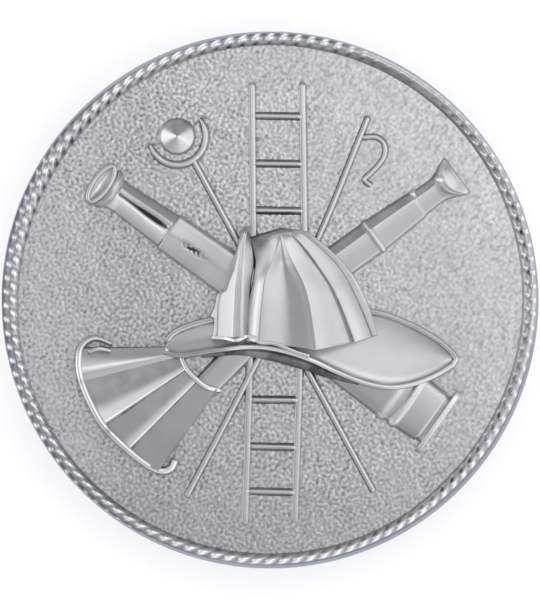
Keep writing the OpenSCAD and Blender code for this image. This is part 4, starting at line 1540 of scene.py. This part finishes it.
def build_trumpet():
    """The speaking trumpet's mouthpiece, barrel, double collar and lower barrel"""
    parts = [
        (*turned(TRUMPET_MOUTH, TRUMPET_UNDER, TRUMPET_ROWS, trumpet_shape), False),
        (*strip(even(BARREL_ROWS, 0.1), 24, power=5, shine=0, foot_shine=0.4), False),
    ]
    for x, y, radius, top in TRUMPET_KNOBS:
        profile = [(radius * math.cos(a) + 0.01, LIP + (top - LIP) * math.sin(a)) for a in QUARTER]
        # The knobs are painted bright as highlights
        parts.append(dome_at(x, y, profile, 24, shine=1.0))
    solid("trumpet", parts, relief_metal())


def sawtooth(f, crest, soft):
    """0 at both ends and highest at the crest, which is the blunter the larger `soft` is"""
    up = f / crest
    down = (1 - f) / (1 - crest) if crest < 1 else np.ones_like(f)
    return np.clip(-soft * np.logaddexp(-up / soft, -down / soft), 0, 1)


def reach(start, toward, curve):
    """How many times the way from start to toward goes into the way from start to the curve"""
    way = toward - start
    near, far = curve[:-1], curve[1:]
    side = far - near
    cross = way[0] * side[:, 1] - way[1] * side[:, 0]
    apart = near - start
    cross = np.where(cross == 0, 1e-9, cross)
    t = (apart[:, 0] * side[:, 1] - apart[:, 1] * side[:, 0]) / cross
    f = (apart[:, 0] * way[1] - apart[:, 1] * way[0]) / cross
    hits = t[(f >= 0) & (f <= 1) & (t > 0.5)]
    return hits.min() if len(hits) else 1.0


def build_bell():
    """The fluted bell, its collar bead and the bead round its rim"""
    rows, per_flute = 90, 44
    t = np.linspace(0, 1, rows)[:, None]
    rim = spline(RIM_ROWS, 8)
    columns, polish_and_highlight, painted_shade = [], [], []
    last = len(BELL_CRESTS) - 1
    for k, flute in enumerate(BELL_CRESTS):
        crest, height, soft, rim_start, collar_start, band_end, bright, rest_shade = flute
        f = np.linspace(0, 1, per_flute, endpoint=k == last)
        (a0, a1, az), (b0, b1, bz) = BELL_LINES[k], BELL_LINES[k + 1]
        a0, a1, b0, b1 = map(np.array, (a0, a1, b0, b1))
        start = blend(a0, b0, f[:, None])
        end = blend(a1, b1, f[:, None])
        times = np.array([reach(p, q, rim[:, :2]) for p, q in zip(start, end)])
        end = start + (end - start) * times[:, None]
        xy = start[None] + (end - start)[None] * t[:, :, None]
        lift = height * sawtooth(f, crest, soft)[None, :] * (0.5 + 0.5 * t)
        valley = blend(az, bz, f[None, :]) * blend(BELL_COLLAR_PART, 1, t)
        columns.append(np.dstack([xy, valley + lift]))
        band_start = blend(collar_start, rim_start, t)
        # Each flute's band is a painted highlight
        band = rise(f[None, :], band_start, 0.3) * fall(f, band_end, 0.04)[None, :]
        polish_and_highlight.append(bright * band * (rise(t, -0.15, 0.55) if k == 0 else 1))
        # A dark line of painted shade along the bell's upper edge, in each valley and along its lower
        # edge
        if k == 0:
            line = 0.9 * fall(f, 0.06, 0.03)
        elif k == last:
            line = 0.5 * spot(f, 0, 0.03) + 0.9 * rise(f, 0.96, 0.03)
        else:
            line = 0.5 * spot(f, 0, 0.03)
        painted_shade.append(np.maximum(rest_shade * (1 - band), line[None, :]))
    surface("trumpet_bell", np.concatenate(columns, axis=1), relief_metal(), bend=0.05, flare=0.02,
            grime_and_shade=0.8, darken=np.concatenate(painted_shade, axis=1), polish_and_highlight=np.concatenate(polish_and_highlight, axis=1))
    bead, crevice, crest = strip(round_ends(even(rim, 0.06)), 18, grime_and_shade=0.8, shine=0.68, shine_from=0.3)
    # The rim bead is painted with highlights, weaker at its upper curl
    crest = crest * (0.2 + 0.8 * fall(bead[:, :, 1], -2.1, 0.6))
    for x, y in RIM_GAPS:
        apart = np.hypot(bead[:, :, 0] - x, bead[:, :, 1] - y)
        crevice = np.maximum(crevice, 0.8 * spot(apart, 0, 0.16))
    collar, inner = (
        round_ends(even(spline(table, steps), 0.06))
        for table, steps in ((COLLAR_ROWS, 8), (RIM_INNER, 6))
    )
    solid("bell_beads", [
        (*strip(collar, 16, shine=0.7, shine_from=0.4), False),
        (bead, crevice, crest, False),
        (*strip(inner, 12, shine=0.3, shine_from=0.3), False),
    ], relief_metal())


def scoop(f, deepest):
    """0 at both ends of a panel and 1 where it is deepest, with soft turns"""
    near = np.abs(deepest - f) / np.where(f < deepest, deepest, 1 - deepest)
    return 1 - blend(near ** 1.6, level(near), 0.6)


def crown_grid():
    """The crown's surface, with crests along its lines and scooped panels between them, and its masks of
    painted shade and painted highlight"""
    v = np.linspace(0, 1, 110)
    lines = [even(spline(line, 8), 0.02) for line in CROWN_LINES]
    lines = [
        np.stack([np.interp(v, np.linspace(0, 1, len(line)), column) for column in line.T], axis=1)
        for line in lines
    ]
    height_left, height_right = (
        CROWN_H * np.interp(v, way[:, 0], way[:, 1])[:, None]
        for way in (spline(CROWN_WAY_LEFT, 6), spline(CROWN_WAY, 6))
    )
    below_top = rise(v, 0.03, 0.1)[:, None]
    low_part = rise(v, 0.3, 0.1)[:, None]
    spread = rise(v, 0, 0.55)[:, None]
    lifts = [blend(top, low, spread) for top, low in zip(CROWN_LIFT_TOP, CROWN_LIFT)]
    columns, darks, brights = [], [], []
    last = len(CROWN_PANELS) - 1
    for k, (deepest, dip, shade, line, worn) in enumerate(CROWN_PANELS):
        f = np.linspace(0, 1, 14 if k == last else 40, endpoint=k == last)
        near, far = lines[k], lines[k + 1]
        xy = near[:, None, :] + (far - near)[:, None, :] * f[None, :, None]
        width = np.linalg.norm(far - near, axis=1)[:, None]
        lift = blend(lifts[k], lifts[k + 1], f[None, :])
        height = blend(height_left, height_right, level(f)[None, :]) if k == 0 else height_right
        z = height * lift - dip * scoop(f, deepest)[None, :] * np.minimum(1, width / 0.9)
        columns.append(np.dstack([xy, z]))
        to_next = (1 - f)[None, :] * width
        from_own = f[None, :] * width
        own_line = CROWN_PANELS[k - 1][3] if k else 0
        # Painted shade before the next line and in it; painted highlight after the panel's own line
        soft = shade * spot(to_next, 0, 0.35)
        dark = soft + (line * spot(to_next, 0, 0.1) + 0.6 * own_line * spot(from_own, 0, 0.05))
        bright = worn * spot(from_own, CROWN_HIGHLIGHT_AT, 0.4)
        if k == 0:
            # The left panel: painted shade along the front piece, blotches of painted shade at the top
            # and a band of painted highlight
            front_edge = 0.5 * fall(f, 0.35, 0.2)[None, :] * low_part
            blotches = 0.28 * fall(v, 0.3, 0.12)[:, None] * fall(f, 0.95, 0.3)[None, :]
            dark = strongest(dark * low_part, front_edge, blotches)
            bright = 0.42 * spot(f, 0.64, 0.15)[None, :] * low_part
        if k == 1:
            # The next panel: a little painted highlight toward its far line, and most just before it
            bright = 0.1 * rise(f, 0.45, 0.2)[None, :] * low_part
            bright = bright + 0.24 * spot(to_next, 0.22, 0.13) * low_part
        darks.append(dark * below_top)
        brights.append(bright * below_top)
    return tuple(np.concatenate(part, axis=1) for part in (columns, darks, brights))


def front_grid():
    """The front piece: a bright left face that climbs to a ridge, a valley and a second ridge. Its left
    face and ridge are painted with highlights, its gap, valley, fold and second ridge with shade.
    """
    rows = even(spline(FRONT_ROWS, 6), 0.06, (0, 6))
    columns = []
    last = len(FRONT_LIFT) - 2
    y = rows[:, 6:7]
    tip = fall(y, 3.45, 0.3)
    wide = np.clip((rows[:, 2:3] - rows[:, 1:2]) / 0.7, 0.15, 1)
    ridge = FRONT_LIFT[2]
    lifts = [ridge + (lift - ridge) * (wide if k < 2 else 1) for k, lift in enumerate(FRONT_LIFT)]
    for k in range(last + 1):
        f = np.linspace(0, 1, 12, endpoint=k == last)[None, :]
        x = rows[:, k:k + 1] * (1 - f) + rows[:, k + 1:k + 2] * f
        lift = blend(lifts[k], lifts[k + 1], f)
        columns.append(np.dstack([x, np.broadcast_to(y, x.shape), lift * (0.75 + 0.25 * tip)]))
    grid = np.concatenate(columns, axis=1)

    across = np.linspace(0, 1, grid.shape[1])[None, :]
    fold_at, ridge_at, second_at = 0.2, 0.41, 0.68
    low = fall(y, 1.6, 0.4)
    gap_y, gap_half = FRONT_GAP
    gap = rise(across, 0.86, 0.1) * (0.45 + 0.55 * np.exp(-(((y - gap_y) / gap_half) ** 4)))
    # The painted highlight climbs slowly to the ridge and ends sharply past it
    before, after = (ridge_at - across) / 0.12, (across - ridge_at) / 0.02
    climb = np.where(across < ridge_at, before ** 2, after ** 2)
    lit = np.maximum(0.12 * np.exp(-climb) * low, fall(across, 0.19, 0.02) * fall(y, 0.3, 0.1))
    valley = 0.25 * rise(across, 0.43, 0.03) * fall(across, second_at, 0.08) * low
    fold = 0.06 * spot(across, fold_at, 0.012) * fall(y, 0.9, 0.3)
    second_line = 0.3 * spot(across, second_at, 0.04) * low
    # Painted shade in the gap, the valley, the fold and along the second ridge; painted highlight on the
    # left face
    return grid, strongest(gap * 0.6, valley, fold, second_line), lit


def build_brim():
    """The dished brim, its rolled edge and the underside that shows at the front. Painted shade and
    highlights lie on the brim and its edge, and the underside is painted as shadow.
    """
    stations = even(spline(BRIM_ROWS, 8), 0.07)
    f = np.linspace(0, 1, 70)[None, :]
    near, far = stations[:, :2], stations[:, 2:4]
    xy = near[:, None, :] + (far - near)[:, None, :] * f[:, :, None]
    top = stations[:, 4:5] * (1 - f) + stations[:, 5:6] * f - BRIM_TOP_DROP
    width = np.linalg.norm(far - near, axis=1)[:, None]
    inward = np.minimum(f, 1 - f) * width
    right_part = rise(stations[:, :1], 1, 4)
    # Painted shade: the line inside the rolled edge, and toward the far edge at the right
    darken = 0.7 * spot(inward, BRIM_LINE, 0.07)
    darken = np.maximum(darken, 0.2 * right_part * rise(f, 0.2, 0.8))
    # Painted highlight beside the line along the near edge, and toward the far edge at the left
    polish_and_highlight = (0.15 + 0.2 * right_part) * spot(inward - BRIM_LINE, 0.2, 0.12) * (f < 0.5)
    polish_and_highlight = np.maximum(polish_and_highlight, 0.2 * (1 - right_part) * rise(f, 0.3, 0.5))
    surface("helmet_brim", np.dstack([xy, top - BRIM_DIP * 4 * f * (1 - f)]), relief_metal(),
            darken=darken, polish_and_highlight=polish_and_highlight)

    half = np.full((len(stations), 1), BRIM_BEAD_W)
    near = np.hstack([near, half, stations[:, 4:5] + BRIM_BEAD_LIFT])
    far = np.hstack([far, half, stations[:, 5:6] + BRIM_BEAD_LIFT])
    turn = np.array([[BRIM_TURN[0], BRIM_TURN[1], BRIM_BEAD_W, BRIM_TURN[2] + BRIM_BEAD_LIFT]])
    bead = even(np.vstack([near, turn, far[::-1]]), 0.06)
    bead, crevice, crest = strip(bead, 18, grime_and_shade=0.6, shine=0.9, shine_from=0.5)
    x = bead[:, :, 0]
    # The bead is painted bright along the front, painted with shade at its left end, and has a painted
    # dark line along the back
    length, around = bead.shape[:2]
    at_front = np.arange(length)[:, None] < length * 0.5
    left_end = at_front * fall(x, -1.5, 1)
    back_line = spot(np.arange(around), (around - 1) / 2, 1.6)[None, :] * ~at_front
    crest = crest * (0.5 + 0.5 * at_front * fall(x, 4, 2))
    crest = crest * (1 - left_end) * (1 - back_line)
    crevice = strongest(crevice, 0.25 * left_end, 0.55 * back_line)
    under = strip(even(spline(BRIM_UNDER, 6), 0.1), 12)[0]
    knob_x, knob_y, knob_r, knob_h = BRIM_KNOB
    knob = [(knob_r * math.cos(a), knob_h * math.sin(a) + LIP) for a in QUARTER]
    solid("brim_bead", [
        (bead, crevice, crest, False),
        # The underside is painted fully dark as shadow
        (under, 1.0, 0, False),
        dome_at(knob_x, knob_y, knob, 24, shine=0.9),
    ], relief_metal())


def build_helmet():
    """The helmet: its brim, its crown, its front piece and the edge along their base"""
    build_brim()
    grid, darken, polish_and_highlight = crown_grid()
    # The crown's top wall is painted dark as shade
    surface("helmet_crown", grid, relief_metal(), bend=0.13, flare=0.05, grime_and_shade=0.2, darken=darken,
            polish_and_highlight=polish_and_highlight, top_painted_shade=0.95, top_spread=3)
    grid, darken, polish_and_highlight = front_grid()
    surface("helmet_front", grid, relief_metal(), bend=0.08, grime_and_shade=0.3, darken=darken, polish_and_highlight=polish_and_highlight)
    edge = np.array([(x, y, BASE_EDGE_W, high) for x, y, high in BASE_EDGE])
    edge = round_ends(even(spline(edge, 5), 0.05))
    edge, crevice, crest = strip(edge, 12, power=3, shine=0.8, shine_from=0.3)
    # The edge is painted bright as a highlight, mostly on its left part
    crest = crest * (0.4 + 0.6 * fall(edge[:, :, 0], 0.2, 0.8))
    solid("helmet_base_edge", [(edge, crevice, crest, False)], relief_metal())


def clutch_wings(x):
    """Rings of the long plate with round ends whose two ends are a clutch's wings"""
    wing_w, wing_t, wing_z, edge, cap_r = 3.4, 0.9, 0.35, 0.15, 0.2
    far = CLUTCH_R - wing_w / 2
    a = np.linspace(0, math.pi, 25)
    outline = np.vstack([
        np.stack([np.cos(a), np.sin(a), np.ones_like(a)], axis=1),
        np.stack([-np.cos(a), -np.sin(a), -np.ones_like(a)], axis=1),
    ])
    b = np.linspace(-math.pi / 2, math.pi / 2, 9)
    radii = [cap_r, *[wing_w / 2 - edge + edge * math.cos(c) for c in b], cap_r]
    heights = [wing_z, *[wing_z + edge + (wing_t - 2 * edge) * (c > 0) + edge * math.sin(c) for c in b],
               wing_z + wing_t]
    return np.stack([
        np.stack([
            x + outline[:, 0] * r,
            outline[:, 1] * r + outline[:, 2] * far,
            np.full(len(outline), z),
        ], axis=1)
        for r, z in zip(radii, heights)
    ])


def build_clutches():
    """Two plain clutches: a pressed plate with a turned-down rim, a hub and two wings"""
    plate_t, rim_h, rim_w, hub_r, bore_r, bore_floor = 0.7, 0.4, 0.6, 3.1, 0.6, 0.7
    hub_round, rim_round, top_round, mouth = 0.5, 0.12, 0.23, 0.15
    top = CLUTCH_H
    profile = [
        (AXIS_R, 0),
        *corner(hub_r - hub_round, hub_round, hub_round, -90, 6),
        (hub_r, top - plate_t),
        (CLUTCH_R - rim_w, top - plate_t),
        (CLUTCH_R - rim_w, top - plate_t - rim_h),
        *corner(CLUTCH_R - rim_round, top - plate_t - rim_h + rim_round, rim_round, -90, 3),
        *corner(CLUTCH_R - top_round, top - top_round, top_round, 0),
        (bore_r + mouth, top),
        (bore_r, top - mouth),
        (bore_r, bore_floor),
        (AXIS_R, bore_floor),
    ]
    for name, side in (("left", -1), ("right", 1)):
        body = lathe(even(profile, PROFILE_STEP), 96, (side * POST_X, 0))
        parts = [(body, 0, 0, False), (clutch_wings(side * POST_X), 0, 0, False)]
        made = solid(f"clutch_{name}_shell", parts, clutch_metal())
        lower(made, FIELD_Z)
        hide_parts(f"clutch_{name}")


def direction_to(azimuth, zenith):
    """The direction at that angle from +X round the vertical and that angle from the vertical"""
    a, b = math.radians(azimuth), math.radians(zenith)
    return math.sin(b) * math.cos(a), math.sin(b) * math.sin(a), math.cos(b)


def softbox(name, azimuth, zenith, size, bright, distance):
    """An area light that faces the disc from that direction, azimuth counted from +X.
    `size` is its width along the horizon and its height, and `bright` how bright it looks."""
    light = bpy.data.lights.new(name, "AREA")
    light.shape = "RECTANGLE"
    light.size, light.size_y = size
    light.energy = bright * math.pi * size[0] * size[1]
    lamp = bpy.data.objects.new(name, light)
    away = Vector(direction_to(azimuth, zenith))
    target = Vector((0, 0, FIELD_Z * MM))
    lamp.location = target + away * distance
    lamp.rotation_euler = away.to_track_quat("Z", "Y").to_euler()
    lamp.visible_camera = False
    bpy.context.scene.collection.objects.link(lamp)


def build_floor():
    """A plain pale floor under the clutches"""
    stage = bpy.context.scene.pin_stage
    half = FLOOR_HALF
    mesh = bpy.data.meshes.new("floor")
    corners = [(-half, -half, 0), (half, -half, 0), (half, half, 0), (-half, half, 0)]
    mesh.from_pydata(corners, [], [(0, 1, 2, 3)])
    material = bpy.data.materials.new("Plain floor")
    material.use_nodes = True
    shader = material.node_tree.nodes["Principled BSDF"]
    shader.inputs["Base Color"].default_value = opaque(stage.floor_color)
    shader.inputs["Roughness"].default_value = 0.9
    shader.inputs["Specular IOR Level"].default_value = 0.0
    mesh.materials.append(material)
    floor = bpy.data.objects.new("floor", mesh)
    bpy.context.scene.collection.objects.link(floor)


def glow(tree, direction, azimuth, zenith, inner, outer, gain):
    """A round soft glow of the room, by the angle between a ray and the glow's middle"""
    product = tree.nodes.new("ShaderNodeVectorMath")
    product.operation = "DOT_PRODUCT"
    tree.links.new(direction, product.inputs[0])
    product.inputs[1].default_value = direction_to(azimuth, zenith)
    fade = tree.nodes.new("ShaderNodeMapRange")
    fade.interpolation_type = "SMOOTHSTEP"
    tree.links.new(product.outputs["Value"], fade.inputs["Value"])
    fade.inputs["From Min"].default_value = math.cos(math.radians(outer))
    fade.inputs["From Max"].default_value = math.cos(math.radians(inner))
    fade.inputs["To Max"].default_value = gain
    return fade.outputs["Result"]


def build_lights():
    """The area lights and the room. Only what the metal mirrors sees the room's glows."""
    for row in SOFTBOXES:
        softbox(*row)
    world = bpy.data.worlds.new("Studio")
    world.use_nodes = True
    tree = world.node_tree
    direction = tree.nodes.new("ShaderNodeTexCoord").outputs["Generated"]
    room = ROOM_GLOW
    for row in ROOM_GLOWS:
        room = math_node(tree, "ADD", room, glow(tree, direction, *row))
    glossy = tree.nodes.new("ShaderNodeLightPath").outputs["Is Glossy Ray"]
    strength = math_node(tree, "MULTIPLY", glossy, math_node(tree, "SUBTRACT", room, FLOOR_GLOW))
    strength = math_node(tree, "ADD", strength, FLOOR_GLOW)
    background = tree.nodes["Background"]
    background.inputs["Color"].default_value = opaque(ROOM_COLOR)
    tree.links.new(strength, background.inputs["Strength"])
    bpy.context.scene.world = world


def build_camera():
    """The camera straight over the disc, as in the photograph"""
    stage = bpy.context.scene.pin_stage
    data = bpy.data.cameras.new("camera")
    data.sensor_fit = "HORIZONTAL"
    data.sensor_width = 36.0
    data.lens = data.sensor_width * stage.camera_distance / stage.view_width
    data.clip_start = 0.01
    data.clip_end = 20.0
    camera = bpy.data.objects.new("camera", data)
    camera.location = (0, 0, FIELD_Z * MM + stage.camera_distance)
    bpy.context.scene.collection.objects.link(camera)
    bpy.context.scene.camera = camera


def build_stage():
    """Floor, lights and camera"""
    build_floor()
    build_lights()
    build_camera()
    bpy.context.scene.view_settings.view_transform = "Standard"


class PIN_OT_plate(bpy.types.Operator):
    """Build the disc's back, wall and edge with its two soldered posts"""

    bl_idname = "pin.build_plate"
    bl_label = "Plate and Posts"

    def execute(self, context):
        build_plate()
        return {"FINISHED"}


class PIN_OT_rope(bpy.types.Operator):
    """Build the twisted rope border"""

    bl_idname = "pin.build_rope"
    bl_label = "Rope Border"

    def execute(self, context):
        build_rope()
        return {"FINISHED"}


class PIN_OT_poles(bpy.types.Operator):
    """Build the ladder, the ball pole and the pike pole"""

    bl_idname = "pin.build_poles"
    bl_label = "Ladder and Poles"

    def execute(self, context):
        build_ladder()
        build_ball_pole()
        build_pike_pole()
        return {"FINISHED"}


class PIN_OT_nozzle(bpy.types.Operator):
    """Build the hose nozzle"""

    bl_idname = "pin.build_nozzle"
    bl_label = "Nozzle"

    def execute(self, context):
        build_nozzle()
        return {"FINISHED"}


class PIN_OT_trumpet(bpy.types.Operator):
    """Build the speaking trumpet and its fluted bell"""

    bl_idname = "pin.build_trumpet"
    bl_label = "Speaking Trumpet"

    def execute(self, context):
        build_trumpet()
        build_bell()
        return {"FINISHED"}


class PIN_OT_helmet(bpy.types.Operator):
    """Build the helmet's brim, crown and front piece"""

    bl_idname = "pin.build_helmet"
    bl_label = "Helmet"

    def execute(self, context):
        build_helmet()
        return {"FINISHED"}


class PIN_OT_field(bpy.types.Operator):
    """Build the pebbled field round the raised items, which have to be there first"""

    bl_idname = "pin.build_field"
    bl_label = "Pebbled Field"

    def execute(self, context):
        build_field()
        return {"FINISHED"}


class PIN_OT_clutches(bpy.types.Operator):
    """Build the two clutches behind the disc"""

    bl_idname = "pin.build_clutches"
    bl_label = "Clutches"

    def execute(self, context):
        build_clutches()
        return {"FINISHED"}


class PIN_OT_stage(bpy.types.Operator):
    """Build the floor, the lights and the camera"""

    bl_idname = "pin.build_stage"
    bl_label = "Stage"

    def execute(self, context):
        build_stage()
        return {"FINISHED"}


OPERATORS = (
    PIN_OT_plate,
    PIN_OT_rope,
    PIN_OT_poles,
    PIN_OT_nozzle,
    PIN_OT_trumpet,
    PIN_OT_helmet,
    PIN_OT_field,
    PIN_OT_clutches,
    PIN_OT_stage,
)


class PIN_PT_panel(bpy.types.Panel):
    """Sizes, finishes and building steps of the pin"""

    bl_idname = "PIN_PT_panel"
    bl_label = "Insignia Pin"
    bl_space_type = "VIEW_3D"
    bl_region_type = "UI"
    bl_category = "Pin"

    def draw(self, context):
        layout = self.layout
        for group in (context.scene.pin_sizes, context.scene.pin_finish, context.scene.pin_stage):
            box = layout.box()
            for key in group.bl_rna.properties.keys():
                if key not in ("rna_type", "name"):
                    box.prop(group, key)
        for operator in OPERATORS:
            layout.operator(operator.bl_idname)


GROUPS = (PinSizes, PinFinish, PinStage)


def register():
    """Registers the classes and gives the scene its three groups of settings"""
    for item in (*GROUPS, *OPERATORS, PIN_PT_panel):
        bpy.utils.register_class(item)
    bpy.types.Scene.pin_sizes = PointerProperty(type=PinSizes)
    bpy.types.Scene.pin_finish = PointerProperty(type=PinFinish)
    bpy.types.Scene.pin_stage = PointerProperty(type=PinStage)


def unregister():
    """Takes back what register did"""
    del bpy.types.Scene.pin_stage
    del bpy.types.Scene.pin_finish
    del bpy.types.Scene.pin_sizes
    for item in reversed((*GROUPS, *OPERATORS, PIN_PT_panel)):
        bpy.utils.unregister_class(item)


def main():
    """Registers the add-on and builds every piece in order"""
    register()
    bpy.ops.pin.build_plate()
    bpy.ops.pin.build_rope()
    bpy.ops.pin.build_poles()
    bpy.ops.pin.build_nozzle()
    bpy.ops.pin.build_trumpet()
    bpy.ops.pin.build_helmet()
    bpy.ops.pin.build_field()
    bpy.ops.pin.build_clutches()
    bpy.ops.pin.build_stage()
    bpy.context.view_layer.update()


if __name__ == "__main__":
    main()
